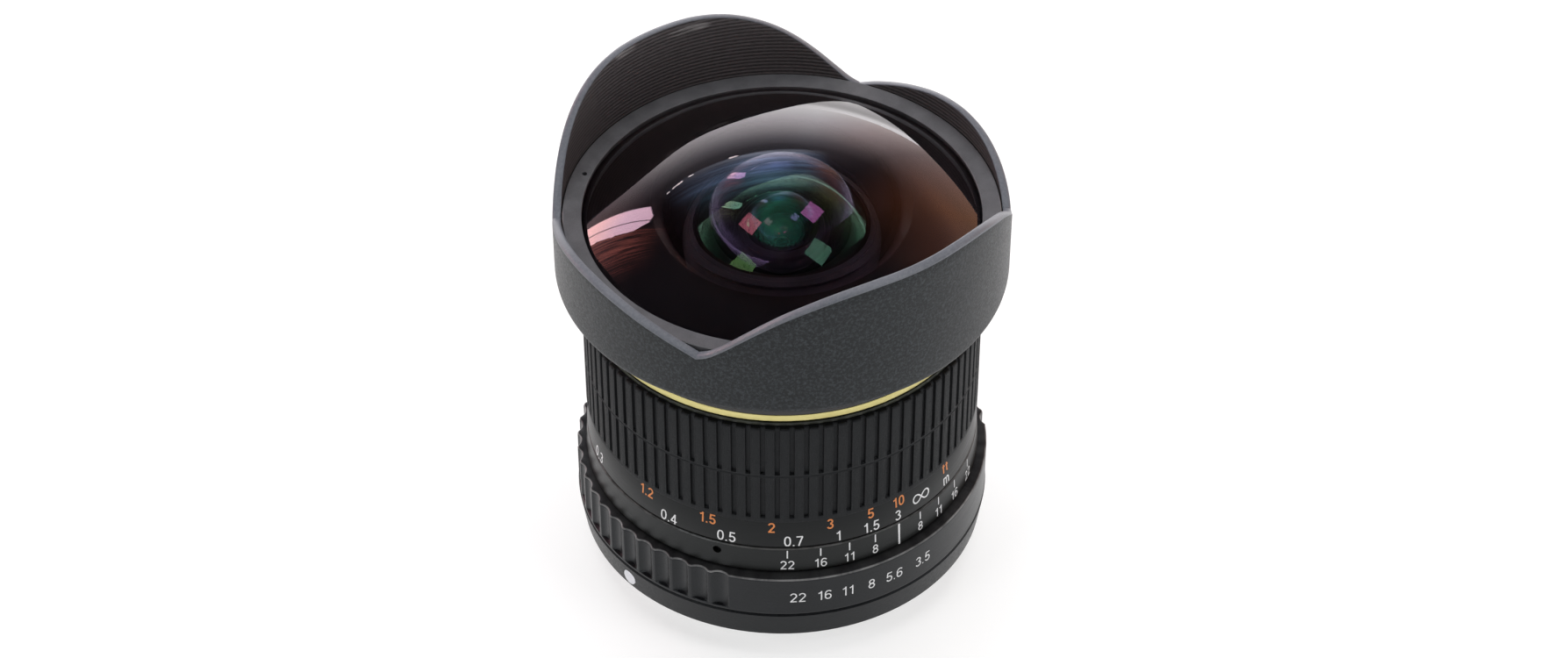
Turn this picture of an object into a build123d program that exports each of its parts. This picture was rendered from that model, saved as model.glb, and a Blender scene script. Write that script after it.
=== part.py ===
from build123d import *
import math
import os

os.makedirs("parts", exist_ok=True)

# Ultra-wide prime lens. Millimetres, +Z forward along the optical axis.
# Origin: centre of the mount's flange face. Angles are degrees about +Z from +X;
# the index line faces -Y (270 degrees).

# ---- driving dimensions -------------------------------------------------
INDEX_DEG = 270.0          # index line on the fixed ring

# hood
HOOD_R = 37.5
HOOD_IN = 36.05
HOOD_Z0 = 53.6             # lower edge of the skirt
HOOD_FLOOR = (60.4, 62.6)  # inner floor under the front ring
NOTCH_Z = 63.5
NOTCH_DEG = 56.5           # notch, measured from the large petal's centre
BIG = [(0, 78.1), (10, 78.0), (15, 77.7), (20, 77.15), (25, 76.25), (30, 75.0), (35, 73.4),
       (40, 71.3), (45, 68.8), (50, 66.1), (54, 64.2), (NOTCH_DEG, NOTCH_Z)]
SMALL = [(0, 68.2), (5, 68.05), (10, 67.7), (15, 67.1), (20, 66.35), (25, 65.45), (30, 64.4),
         (90 - NOTCH_DEG, NOTCH_Z)]

# rings, bottom to top: (z, r)
BASE_Z, BASE_R0, BASE_R1 = 5.5, 34.70, 35.40
AP_Z0, AP_Z1, AP_R = 5.55, 13.75, 35.30
INDEX_Z0, INDEX_Z1, INDEX_R0, INDEX_R1 = 14.1, 19.12, 33.71, 33.43
SCALE_Z0, SCALE_Z1, SCALE_R0, SCALE_R1 = 19.62, 25.1, 33.40, 32.86
GRIP_Z0, GRIP_Z1, GRIP_R, GRIP_IN = 25.12, 46.15, 33.36, 31.5
LIP_Z0, LIP_Z1, LIP_R = 46.35, 47.0, 32.55
GOLD_Z0, GOLD_Z1, GOLD_R = 47.25, 48.55, 32.50
TRIM_IN, TRIM_OUT, TRIM_Z, TRIM_DIP = 32.72, 35.82, 64.32, 0.30   # its face slopes down towards the glass
SPANNER_DEG = (128.8, 308.8)   # two small holes for a pin spanner
N_RIBS, GROOVE_W, GROOVE_D = 88, 0.45, 0.75
GROOVES = ((26.3, 35.3), (36.1, 46.6))

# aperture ring flutes
FLUTE_PITCH, FLUTE_N, FLUTE_FIRST = 5.87, 43, 220.4 - 2.93
FLUTE_R, FLUTE_DEPTH = 2.2, 0.60

# running fits
GUIDE_IN, GUIDE_OUT = 24.0, 26.0
SLEEVE_IN, SLEEVE_OUT = 26.06, 28.0
CARRIER_R = 23.93
AP_BORE, AP_SEAT = 31.06, 31.0

# focus motion
FOCUS_MIN, FOCUS_MAX = -8.0, 102.0       # degrees, far stop and near stop
FOCUS_TRAVEL = 1.2                       # mm for FOCUS_MAX
PIN_R, PIN_Z, PIN_DEG = 1.0, 30.0, (90.0, 210.0, 330.0)

# aperture motion
AP_MIN, AP_MAX = -6.2, 31.6              # degrees, f/3.5 and f/22
N_BLADES = 6
OPEN_R = 4.0                             # stop radius fully open
CLOSED_R = 0.635
PIVOT_R, DRIVE_OFF = 9.0, 2.4
BLADE_SWING = 2 * math.degrees(math.asin((OPEN_R - CLOSED_R) / (2 * PIVOT_R)))
BLADE_RATIO = BLADE_SWING / (AP_MAX - AP_MIN)
BLADE_REST = -AP_MIN * BLADE_RATIO       # degrees each blade has already closed at rest
BLADE_T, BLADE_PITCH, BLADE_TOP = 0.10, 0.15, 12.43
STUD_R, STUD_FIT = 0.40, 0.05
LEVER_DEG, LEVER_Z = 30.0, 11.05
PLATE_Z = (12.5, 13.5)
CAM_Z = (10.65, 11.5)

# optics: (front z, front R, rear z, rear R, clear r, edge r[, front clear r]); R > 0 bulges towards +Z
GLASS = {
    "front_element": (75.0, 51.0, 72.6, 21.0, 19.08, 33.0, 33.0),
    "element_2": (64.8, 34.0, 62.6, 13.0, 12.2, 17.3, 17.3),
    "element_3": (53.0, -40.0, 51.8, 12.0, 7.8, 9.5),
    "element_4": (45.8, 20.0, 39.5, -14.0, 9.0, 9.5),
    "element_5": (39.5, -14.0, 37.8, -40.0, 9.0, 9.5),
    "element_6": (9.3, 25.0, 6.2, -14.0, 6.5, 7.0),
    "element_7": (6.2, -14.0, 5.2, -40.0, 6.5, 7.0),
    "element_8": (4.9, 30.0, 1.9, -16.0, 7.0, 7.5),
    "element_9": (1.9, -16.0, 1.0, -60.0, 7.0, 7.5),
    "element_10": (0.7, 22.0, -2.0, -60.0, 7.5, 8.0),
}

# mount
FLANGE_IN, FLANGE_OUT, THROAT = 27.2, 32.5, 22.0
CLAW_R, CLAW_Z = 26.8, (-5.3, -3.8)
SPIGOT_Z = -5.5


# ---- helpers ------------------------------------------------------------
def turned(points):
    """Solid of revolution from (r, z) corners."""
    face = make_face(Polyline(*[(r, 0, z) for r, z in points], close=True))
    return revolve(face, Axis.Z, 360)


def ring(r0, r1, z0, z1):
    return turned([(r0, z0), (r1, z0), (r1, z1), (r0, z1)])


def at(r, deg, z=0.0):
    a = math.radians(deg)
    return (r * math.cos(a), r * math.sin(a), z)


def upright(r, deg, radius, z0, z1):
    """Cylinder parallel to the optical axis."""
    return Pos(*at(r, deg, (z0 + z1) / 2)) * Cylinder(radius, z1 - z0)


def radial(r0, r1, deg, z, radius):
    """Cylinder pointing outward from the optical axis."""
    return Rot(0, 0, deg) * Pos((r0 + r1) / 2, 0, z) * Rot(0, 90, 0) * Cylinder(radius, r1 - r0)


def sector(r0, r1, a0, a1, z0, z1):
    """Block of a ring between two angles."""
    o = ThreePointArc(at(r1, a0), at(r1, (a0 + a1) / 2), at(r1, a1))
    i = ThreePointArc(at(r0, a1), at(r0, (a0 + a1) / 2), at(r0, a0))
    l1 = Line(at(r1, a1), at(r0, a1))
    l2 = Line(at(r0, a0), at(r1, a0))
    face = make_face(Curve() + [o, l1, i, l2])
    return Pos(0, 0, z0) * extrude(face, z1 - z0)


def ribbon(samples, r0, r1, height):
    """Ruled block over (deg, z) samples, between two radii, standing `height` above the curve."""
    samples = sorted(samples)
    a = Edge.make_spline([Vector(*at(r0, d, z)) for d, z in samples])
    b = Edge.make_spline([Vector(*at(r1, d, z)) for d, z in samples])
    return Solid.extrude(Face.make_surface_from_curves(a, b), Vector(0, 0, height))


def sag(radius, r):
    big = abs(radius)
    return math.copysign(big - math.sqrt(big * big - r * r), radius)


def surface_z(z, radius, r):
    return z - sag(radius, r)


def lens(z1, r1, z2, r2, clear, edge, front_clear=None):
    """Lens element turned from its front and rear spheres, with flat rims out to the edge."""
    f = front_clear or clear
    front = [(0, 0, z1), (f * 0.55, 0, surface_z(z1, r1, f * 0.55)), (f, 0, surface_z(z1, r1, f))]
    b = clear
    rear = [(b, 0, surface_z(z2, r2, b)), (b * 0.55, 0, surface_z(z2, r2, b * 0.55)), (0, 0, z2)]
    top, low = front[2][2], rear[0][2]
    lines = [ThreePointArc(*front)]
    if f < edge:
        lines.append(Line((f, 0, top), (edge, 0, top)))
    lines.append(Line((edge, 0, top), (edge, 0, low)))
    lines.append(Line((edge, 0, low), (b, 0, low)))
    lines.append(ThreePointArc(*rear))
    lines.append(Line((0, 0, z2), (0, 0, z1)))
    return revolve(make_face(Curve() + lines), Axis.Z, 360)


def pan_screw(r, deg, head_r, shank_r, z_head0, z_head1, z_tip, slot=0.3):
    """Axial screw with a cross recess. The head is the end at z_head1's side, the shank runs to z_tip."""
    head = upright(r, deg, head_r, min(z_head0, z_head1), max(z_head0, z_head1))
    shank = upright(r, deg, shank_r, min(z_head0, z_tip), max(z_head0, z_tip))
    s = head + shank
    up = 1 if z_head1 > z_head0 else -1
    depth = abs(z_head1 - z_head0) * 0.55
    zc = z_head1 - up * depth / 2
    for turn in (0, 90):
        s -= Pos(*at(r, deg, zc)) * Rot(0, 0, deg + 45 + turn) * Box(head_r * 1.25, slot, depth + 0.02)
    return s


def group(items):
    return Compound(children=[i if isinstance(i, Solid) else i.solids()[0] for i in items])


def save(name, shape):
    export_step(shape, f"parts/{name}.step")


made = {}

# ---- mount end ----------------------------------------------------------
bayonet = turned([(THROAT, SPIGOT_Z + 0.3), (THROAT + 0.3, SPIGOT_Z), (24.3, SPIGOT_Z), (24.6, SPIGOT_Z + 0.3),
                  (24.6, 0.6), (FLANGE_IN, 0.6), (FLANGE_IN, 0.0), (FLANGE_OUT - 0.2, 0.0), (FLANGE_OUT, 0.2),
                  (FLANGE_OUT, 2.0), (THROAT, 2.0)])
for k in range(3):
    bayonet += sector(24.4, CLAW_R, 62 + 120 * k, 118 + 120 * k, *CLAW_Z)
screw_deg = (20.0, 110.0, 200.0, 290.0)
for d in screw_deg:
    bayonet -= upright(29.6, d, 1.65, -0.1, 1.15)
    bayonet -= upright(29.6, d, 0.95, 0.5, 2.1)
bayonet -= upright(29.9, 160.0, 1.5, -0.1, 1.6)            # lock pin hole
made["bayonet_mount"] = bayonet
made["mount_screws"] = group([pan_screw(29.6, d, 1.55, 0.80, 1.10, 0.15, 4.6, 0.35) for d in screw_deg])

baffle = turned([(0, -4.7), (21.95, -4.7), (21.95, -0.4), (20.4, -0.4), (20.4, -3.5), (0, -3.5)])
baffle -= Pos(0, 0, -4.1) * extrude(RectangleRounded(27.0, 18.5, 2.5), 3, both=True)
made["rear_baffle"] = baffle

base = turned([(32.6, 0.0), (BASE_R0 - 0.3, 0.0), (BASE_R0, 0.3), (BASE_R1, BASE_Z - 0.35), (BASE_R1 - 0.25, BASE_Z),
               (31.05, BASE_Z), (31.05, 2.05), (32.6, 2.05)])
DOT_DEG = INDEX_DEG - 83.0
base -= radial(34.2, 36.0, DOT_DEG, 2.6, 1.45)
made["base_ring"] = base
made["mount_index_dot"] = radial(34.25, 35.1, DOT_DEG, 2.6, 1.40)

# ---- main barrel --------------------------------------------------------
barrel = turned([(15.6, 2.1), (31.0, 2.1), (31.0, 13.7), (30.0, 13.7), (30.0, 18.9), (28.4, 18.9), (28.4, 14.2),
                 (GUIDE_OUT, 14.2), (GUIDE_OUT, 48.9), (GUIDE_IN, 48.9), (GUIDE_IN, 14.2), (16.05, 14.2),
                 (16.05, 12.2), (29.0, 12.2), (29.0, 5.0), (15.6, 5.0)])
for d in PIN_DEG:
    lo = PIN_Z + FOCUS_TRAVEL * FOCUS_MIN / FOCUS_MAX - 0.12
    hi = PIN_Z + FOCUS_TRAVEL + 0.12
    slot = Rot(0, 0, d) * Pos(25.0, 0, (lo + hi) / 2) * Box(4.0, 2 * (PIN_R + 0.06), hi - lo)
    barrel -= slot
    barrel -= radial(23.0, 27.0, d, lo, PIN_R + 0.06)
    barrel -= radial(23.0, 27.0, d, hi, PIN_R + 0.06)
barrel -= sector(28.0, 31.5, LEVER_DEG + AP_MIN - 2.2, LEVER_DEG + AP_MAX + 2.2, 10.1, 12.0)
for d in screw_deg:
    barrel -= upright(29.6, d, 0.85, 2.0, 4.75)
INDEX_SCREW = (INDEX_DEG - 54.2, INDEX_DEG + 65.8, INDEX_DEG - 174.2)
for d in INDEX_SCREW:
    barrel -= radial(29.1, 30.5, d, 17.5, 0.62)
CLICK_DEG = 250.0
barrel -= radial(28.5, 31.5, CLICK_DEG, 8.2, 1.03)
barrel -= radial(28.5, 30.4, CLICK_DEG - 14, 8.2, 0.45)
FRONT_SET = (50.0, 170.0, 290.0)
for d in FRONT_SET:
    barrel -= radial(24.6, 27.0, d, 47.95, 0.55)
HOUSING_SCREW = (90.0, 210.0, 330.0)
for d in HOUSING_SCREW:
    barrel -= upright(17.9, d, 0.6, 12.6, 14.4)
made["main_barrel"] = barrel

index = turned([(30.05, INDEX_Z0), (INDEX_R0 - 0.25, INDEX_Z0), (INDEX_R0, INDEX_Z0 + 0.3),
                (INDEX_R1, INDEX_Z1 - 0.2), (INDEX_R1 - 0.2, INDEX_Z1), (30.05, INDEX_Z1)])
for d in INDEX_SCREW:
    index -= radial(29.5, 34.5, d, 17.5, 0.62)
    index -= radial(32.75, 34.5, d, 17.5, 0.74)
made["index_ring"] = index


def grub(r0, r1, d, z, radius):
    s = radial(r0, r1, d, z, radius)
    return s - Rot(0, 0, d) * Pos(r1 - 0.25, 0, z) * Rot(90, 0, 0) * Box(0.6, radius * 0.45, radius * 3)


made["index_set_screws"] = group([grub(29.15, 32.7, d, 17.5, 0.58) for d in INDEX_SCREW])

made["click_ball"] = Pos(*at(30.0, CLICK_DEG, 8.2)) * Sphere(0.98)
leaf = sector(28.72, 28.97, CLICK_DEG - 17, CLICK_DEG + 5, 7.3, 9.1)
leaf -= radial(28.0, 29.3, CLICK_DEG - 14, 8.2, 0.46)
made["click_spring"] = leaf
made["click_spring_screw"] = radial(28.69, 30.3, CLICK_DEG - 14, 8.2, 0.40) + radial(28.1, 28.69, CLICK_DEG - 14, 8.2, 0.8)

# ---- iris ---------------------------------------------------------------
housing = turned([(OPEN_R + 0.2, PLATE_Z[0]), (12.46, PLATE_Z[0]), (12.46, 10.65), (16.0, 10.65), (16.0, 14.25),
                  (19.4, 14.25), (19.4, 15.0), (14.0, 15.0), (14.0, PLATE_Z[1]), (OPEN_R + 0.6, PLATE_Z[1])])
housing -= sector(12.0, 16.6, LEVER_DEG + AP_MIN - 11.6, LEVER_DEG + AP_MAX + 11.6, 10.0, 11.9)
for k in range(N_BLADES):
    housing -= upright(PIVOT_R, 60 * k, STUD_R + STUD_FIT, 12.0, 14.0)
for d in HOUSING_SCREW:
    housing -= upright(17.9, d, 0.6, 14.0, 15.2)
RETAINER_SCREW = (110.0, 220.0, 340.0)
for d in RETAINER_SCREW:
    housing -= upright(14.2, d, 0.45, 10.5, 12.3)
made["iris_housing"] = housing
made["iris_housing_screws"] = group([pan_screw(17.9, d, 1.1, 0.55, 15.02, 15.7, 12.8, 0.3) for d in HOUSING_SCREW])
retainer = ring(8.6, 15.0, 9.8, 10.58)
for d in RETAINER_SCREW:
    retainer -= upright(14.2, d, 0.45, 9.5, 11.0)
made["iris_retainer"] = retainer
made["iris_retainer_screws"] = group([pan_screw(14.2, d, 0.75, 0.40, 9.78, 9.25, 12.1, 0.22) for d in RETAINER_SCREW])

pivot = Vector(PIVOT_R, 0, 0)


def drive_xy(beta):
    b = math.radians(beta)
    return (PIVOT_R + DRIVE_OFF * math.sin(b), -DRIVE_OFF * math.cos(b))


def cam_point(q):
    """Drive stud seen from the cam ring, when the ring has turned q degrees from rest."""
    x, y = drive_xy((q - AP_MIN) * BLADE_RATIO)
    a = math.radians(-q)
    return (x * math.cos(a) - y * math.sin(a), x * math.sin(a) + y * math.cos(a))


def cam_slot():
    n = 22
    pts = [cam_point(AP_MIN + (AP_MAX - AP_MIN) * i / n) for i in range(n + 1)]
    w = STUD_R + 0.06
    left, right = [], []
    for i, p in enumerate(pts):
        a, b = pts[max(i - 1, 0)], pts[min(i + 1, n)]
        dx, dy = b[0] - a[0], b[1] - a[1]
        m = math.hypot(dx, dy)
        nx, ny = -dy / m * w, dx / m * w
        left.append((p[0] + nx, p[1] + ny))
        right.append((p[0] - nx, p[1] - ny))
    body = extrude(make_face(Polyline(*(left + right[::-1]), close=True)), 3)
    out = Pos(0, 0, 9.8) * body
    for p in (pts[0], pts[-1]):
        out += Pos(p[0], p[1], 11.3) * Cylinder(w, 3)
    return out


cam = ring(8.5, 12.4, *CAM_Z)
arm = Rot(0, 0, LEVER_DEG) * Pos(20.0, 0, LEVER_Z) * Box(16.6, 4.4, CAM_Z[1] - CAM_Z[0] - 0.05)
arm -= Rot(0, 0, LEVER_DEG) * Pos(27.3, 0, LEVER_Z) * Box(4.0, 1.72, 3)
cam += arm
slot = cam_slot()
for k in range(N_BLADES):
    cam -= Rot(0, 0, 60 * k) * slot
made["iris_actuator"] = cam

for k in range(N_BLADES):
    z1 = BLADE_TOP - BLADE_PITCH * k
    z0 = z1 - BLADE_T
    blade = sector(OPEN_R, OPEN_R + 4.0, -6, 150, z0, z1)
    tab = Pos(0, 0, z0) * extrude(make_face(Polyline((6.9, -3.3), (9.6, -3.1), (9.95, -2.2), (9.95, 0.3), (9.3, 1.0),
                                                     (7.3, 1.7), (6.2, 0.0), close=True)), BLADE_T)
    blade += tab
    blade += Pos(PIVOT_R, 0, 0) * Pos(0, 0, (z1 + 13.3) / 2) * Cylinder(STUD_R, 13.3 - z1)
    blade += Pos(PIVOT_R, -DRIVE_OFF, (z0 + 10.8) / 2) * Cylinder(STUD_R, z0 - 10.8)
    blade = Pos(PIVOT_R, 0, 0) * Rot(0, 0, BLADE_REST) * Pos(-PIVOT_R, 0, 0) * blade
    made[f"iris_blade_{k + 1}"] = Rot(0, 0, 60 * k) * blade

# ---- aperture ring ------------------------------------------------------
ap = turned([(AP_BORE, AP_Z0), (AP_R - 0.2, AP_Z0), (AP_R, AP_Z0 + 0.3), (AP_R, AP_Z1 - 0.25),
             (AP_R - 0.25, AP_Z1), (AP_BORE, AP_Z1)])
cutters = []
for i in range(FLUTE_N):
    d = FLUTE_FIRST - FLUTE_PITCH * i
    cutters.append(upright(AP_R + FLUTE_R - FLUTE_DEPTH, d, FLUTE_R, AP_Z0 + 0.55, AP_Z1 + 1))
ap -= cutters
ap -= radial(30.5, 33.2, LEVER_DEG, LEVER_Z, 0.85)
stops = [AP_MIN, -1.3, 3.6, 7.15, 10.7, 14.25, 17.8, 21.0, 24.3, 27.95, AP_MAX]
ap -= [upright(31.06 - 0.98 + 0.28, CLICK_DEG - q, 0.98, 7.0, 9.4) for q in stops]
made["aperture_ring"] = ap
made["aperture_drive_pin"] = radial(25.7, 33.1, LEVER_DEG, LEVER_Z, 0.80)

# ---- focus ring ---------------------------------------------------------
shell = turned([(30.0, SCALE_Z0), (SCALE_R0 - 0.15, SCALE_Z0), (SCALE_R0, SCALE_Z0 + 0.2), (SCALE_R1, SCALE_Z1),
                (GRIP_IN, SCALE_Z1), (GRIP_IN, LIP_Z0), (LIP_R, LIP_Z0), (LIP_R, LIP_Z1 - 0.2), (LIP_R - 0.2, LIP_Z1),
                (27.0, LIP_Z1), (27.0, 45.5), (30.0, 45.5)])
SLEEVE_SCREW = (30.0, 150.0, 270.0)
for d in SLEEVE_SCREW:
    shell -= upright(28.9, d, 1.15, 46.2, 47.2)
    shell -= upright(28.9, d, 0.62, 45.0, 46.5)
made["focus_ring"] = shell

grip = ring(GRIP_IN + 0.02, GRIP_R, GRIP_Z0, GRIP_Z1)
cut = []
for i in range(N_RIBS):
    a = 360.0 / N_RIBS * i
    for z0, z1 in GROOVES:
        cut.append(Rot(0, 0, a) * Pos(GRIP_R, 0, (z0 + z1) / 2) * Box(2 * GROOVE_D, GROOVE_W, z1 - z0))
grip -= cut
made["rubber_grip"] = grip

sleeve = turned([(SLEEVE_IN, 21.0), (SLEEVE_OUT, 21.0), (SLEEVE_OUT, 44.0), (29.95, 44.0), (29.95, 45.45),
                 (SLEEVE_IN, 45.45)])
slope = FOCUS_TRAVEL / FOCUS_MAX
half = PIN_R + 0.07
for d in PIN_DEG:
    n = 16
    ends = math.degrees(half / SLEEVE_IN) + 0.15               # room for the pin at both stops
    qs = [FOCUS_MIN - ends + (FOCUS_MAX - FOCUS_MIN + 2 * ends) * i / n for i in range(n + 1)]
    sleeve -= ribbon([(d - q, PIN_Z + slope * q - half) for q in qs], 25.4, 28.8, 2 * half)
for d in SLEEVE_SCREW:
    sleeve -= upright(28.9, d, 0.6, 44.3, 45.6)
made["cam_sleeve"] = sleeve
made["cam_sleeve_screws"] = group([pan_screw(28.9, d, 1.08, 0.55, 46.22, 46.85, 44.4, 0.28) for d in SLEEVE_SCREW])

# ---- focusing group -----------------------------------------------------
cell = turned([(8.6, 38.0), (12.0, 38.0), (12.0, 37.6), (21.9, 37.6), (21.9, 27.0), (CARRIER_R, 27.0), (CARRIER_R, 40.0),
               (12.0, 40.0), (12.0, 45.2), (9.55, 45.2), (9.55, 38.69), (8.6, 38.69)])
for d in PIN_DEG:
    cell -= radial(21.0, 24.5, d, PIN_Z, PIN_R + 0.02)
made["focus_cell"] = cell
made["focus_follower_pins"] = group([radial(21.9, 27.8, d, PIN_Z, PIN_R) for d in PIN_DEG])
made["focus_cell_retainer"] = ring(8.75, 9.5, 43.95, 44.9)

# ---- front barrel and cell ----------------------------------------------
front = turned([(26.03, 47.2), (31.45, 47.2), (31.45, 48.6), (32.45, 48.6), (32.45, 49.7), (34.9, 52.15),
                (34.9, 60.35), (31.95, 60.35), (31.95, 59.7), (31.1, 59.7), (31.1, 60.35), (29.0, 60.35),
                (29.0, 58.0), (23.5, 58.0), (23.5, 49.0), (26.03, 49.0)])
for d in FRONT_SET:
    front -= radial(25.5, 32.0, d, 47.95, 0.55)
HOOD_SCREW = (30.0, 150.0, 270.0)
for d in HOOD_SCREW:
    front -= upright(34.0, d, 0.55, 56.8, 60.5)
CELL_SCREW = (0.0, 120.0, 240.0)
for d in CELL_SCREW:
    front -= upright(26.3, d, 0.65, 54.9, 58.2)
made["front_barrel"] = front
made["front_barrel_set_screws"] = group([grub(24.7, 31.2, d, 47.95, 0.51) for d in FRONT_SET])
made["accent_ring"] = turned([(31.5, GOLD_Z0), (GOLD_R - 0.12, GOLD_Z0), (GOLD_R, GOLD_Z0 + 0.12),
                              (GOLD_R, GOLD_Z1 - 0.12), (GOLD_R - 0.12, GOLD_Z1), (31.5, GOLD_Z1)])
seal = Pos(0, 0, 60.05) * Torus(31.52, 0.30)
made["front_seal"] = seal

fcell = turned([(17.35, 61.3), (18.2, 61.3), (18.2, 60.3), (28.95, 60.3), (28.95, 58.05), (19.4, 58.05), (19.4, 47.4),
                (9.55, 47.4), (9.55, 54.02), (8.9, 54.02), (8.9, 54.5), (10.2, 54.5), (10.8, 54.05), (17.35, 54.05)])
for d in CELL_SCREW:
    fcell -= upright(26.3, d, 1.3, 59.3, 60.6)
    fcell -= upright(26.3, d, 0.65, 57.8, 59.5)
made["front_cell"] = fcell
made["front_cell_screws"] = group([pan_screw(26.3, d, 1.22, 0.60, 59.32, 60.1, 55.1, 0.3) for d in CELL_SCREW])
made["front_cell_retainer"] = ring(16.6, 17.3, 60.50, 61.28)
made["element_3_retainer"] = ring(7.9, 9.5, 47.8, 48.86)

# ---- rear cell ----------------------------------------------------------
rcell = turned([(7.05, 9.7), (9.2, 9.7), (9.2, 9.0), (12.0, 6.5), (17.5, 6.5), (17.5, 5.05), (15.55, 5.05), (15.55, 2.1),
                (10.0, 1.0), (10.0, -2.7), (8.05, -2.7), (8.05, -0.59), (7.55, -0.59), (7.55, 4.10), (7.02, 4.10),
                (7.02, 5.0), (6.52, 5.3), (6.52, 5.68), (7.05, 5.68)])
made["rear_cell"] = rcell
made["rear_doublet_ring"] = ring(6.55, 7.0, 8.50, 9.6)
made["rear_spacer"] = ring(7.05, 7.5, 0.3, 1.36)
made["rear_retainer"] = ring(7.6, 8.0, -2.6, -1.58)

for name, dims in GLASS.items():
    made[name] = lens(*dims)

# ---- hood and front ring ------------------------------------------------
hood = turned([(35.05, HOOD_Z0), (36.9, HOOD_Z0), (37.35, HOOD_Z0 + 0.25), (HOOD_R, HOOD_Z0 + 0.7), (HOOD_R, 80.0),
               (HOOD_IN, 80.0), (HOOD_IN, HOOD_FLOOR[1]), (33.15, HOOD_FLOOR[1]), (33.15, HOOD_FLOOR[0]),
               (35.05, HOOD_FLOOR[0])])


def rim(centre, table):
    pts = [(centre - d, z) for d, z in reversed(table)] + [(centre + d, z) for d, z in table[1:]]
    return ribbon(pts, 34.0, 39.5, 24.0)


for c in (90.0, 270.0):
    hood -= rim(c, BIG)
for c in (0.0, 180.0):
    hood -= rim(c, SMALL)
for d in HOOD_SCREW:
    hood -= upright(34.0, d, 0.9, 61.7, 62.8)
    hood -= upright(34.0, d, 0.55, 60.2, 61.8)
made["petal_hood"] = hood
made["hood_screws"] = group([pan_screw(34.0, d, 0.84, 0.50, 61.72, 62.45, 57.0, 0.24) for d in HOOD_SCREW])

trim = turned([(TRIM_IN, 63.5), (33.1, 63.5), (33.1, 62.65), (TRIM_OUT - 0.1, 62.65), (TRIM_OUT, 62.75),
               (TRIM_OUT, TRIM_Z - 0.12), (TRIM_OUT - 0.12, TRIM_Z), (TRIM_IN + 0.08, TRIM_Z - TRIM_DIP),
               (TRIM_IN, TRIM_Z - TRIM_DIP - 0.06)])
for d in SPANNER_DEG:
    trim -= upright(33.85, d, 0.42, 63.4, 65.0)
made["trim_ring"] = trim

for name, shape in made.items():
    save(name, shape)
print(len(made), "nodes; blade ratio", round(BLADE_RATIO, 5), "swing", round(BLADE_SWING, 3), "rest", round(BLADE_REST, 3),
      "focus m/rad", round(FOCUS_TRAVEL / 1000 / math.radians(FOCUS_MAX), 9))
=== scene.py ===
import math

import bmesh
import bpy
import numpy as np
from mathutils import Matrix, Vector


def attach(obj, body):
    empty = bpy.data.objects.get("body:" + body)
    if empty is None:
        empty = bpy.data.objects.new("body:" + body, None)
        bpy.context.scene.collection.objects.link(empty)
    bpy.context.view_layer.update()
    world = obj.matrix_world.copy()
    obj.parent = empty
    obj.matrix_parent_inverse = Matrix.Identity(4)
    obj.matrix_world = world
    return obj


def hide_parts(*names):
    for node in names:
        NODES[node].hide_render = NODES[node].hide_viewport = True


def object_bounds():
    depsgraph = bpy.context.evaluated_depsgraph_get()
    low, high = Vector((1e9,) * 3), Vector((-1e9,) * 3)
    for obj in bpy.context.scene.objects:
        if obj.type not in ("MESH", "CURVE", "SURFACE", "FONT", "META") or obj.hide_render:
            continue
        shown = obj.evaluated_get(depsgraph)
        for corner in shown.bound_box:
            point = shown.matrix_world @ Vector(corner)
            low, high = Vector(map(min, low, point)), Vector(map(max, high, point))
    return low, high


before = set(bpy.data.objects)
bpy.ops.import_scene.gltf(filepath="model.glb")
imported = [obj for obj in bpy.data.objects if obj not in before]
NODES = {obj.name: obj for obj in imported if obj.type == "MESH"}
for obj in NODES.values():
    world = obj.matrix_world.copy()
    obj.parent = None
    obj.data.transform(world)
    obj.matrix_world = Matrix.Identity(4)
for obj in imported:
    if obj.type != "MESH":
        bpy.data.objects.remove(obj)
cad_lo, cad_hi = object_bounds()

MM = 0.001
scene = bpy.context.scene

# ------------------------------------------------------------------ camera
AZ, EL, DIST = math.radians(-35.5), math.radians(41.918), 0.59304
TOWARDS = Vector((math.sin(AZ) * math.cos(EL), -math.cos(AZ) * math.cos(EL), math.sin(EL)))
LOOK = Vector((0, 0, 0.037918))
cam_data = bpy.data.cameras.new("camera")
cam = bpy.data.objects.new("camera", cam_data)
scene.collection.objects.link(cam)
cam.location = LOOK + TOWARDS * DIST
cam.rotation_mode = "QUATERNION"
cam.rotation_quaternion = (-TOWARDS).to_track_quat("-Z", "Y")
cam_data.lens = 80.98
cam_data.sensor_width = 36
cam_data.shift_x = 0.00128
cam_data.clip_start, cam_data.clip_end = 0.01, 50
cam_data.dof.use_dof = False
scene.camera = cam
scene.view_settings.view_transform = "Standard"
scene.view_settings.look = "None"

# ------------------------------------------------------------------ numbers shared with the CAD, mm
HOOD_R, HOOD_IN, HOOD_Z0 = 37.5, 36.05, 53.6
NOTCH_DEG, NOTCH_Z = 56.5, 63.5
BIG = [(0, 78.1), (10, 78.0), (15, 77.7), (20, 77.15), (25, 76.25), (30, 75.0), (35, 73.4),
       (40, 71.3), (45, 68.8), (50, 66.1), (54, 64.2), (NOTCH_DEG, NOTCH_Z)]
SMALL = [(0, 68.2), (5, 68.05), (10, 67.7), (15, 67.1), (20, 66.35), (25, 65.45), (30, 64.4),
         (90 - NOTCH_DEG, NOTCH_Z)]
N_RIBS = 88
INDEX = 270.0


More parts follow.
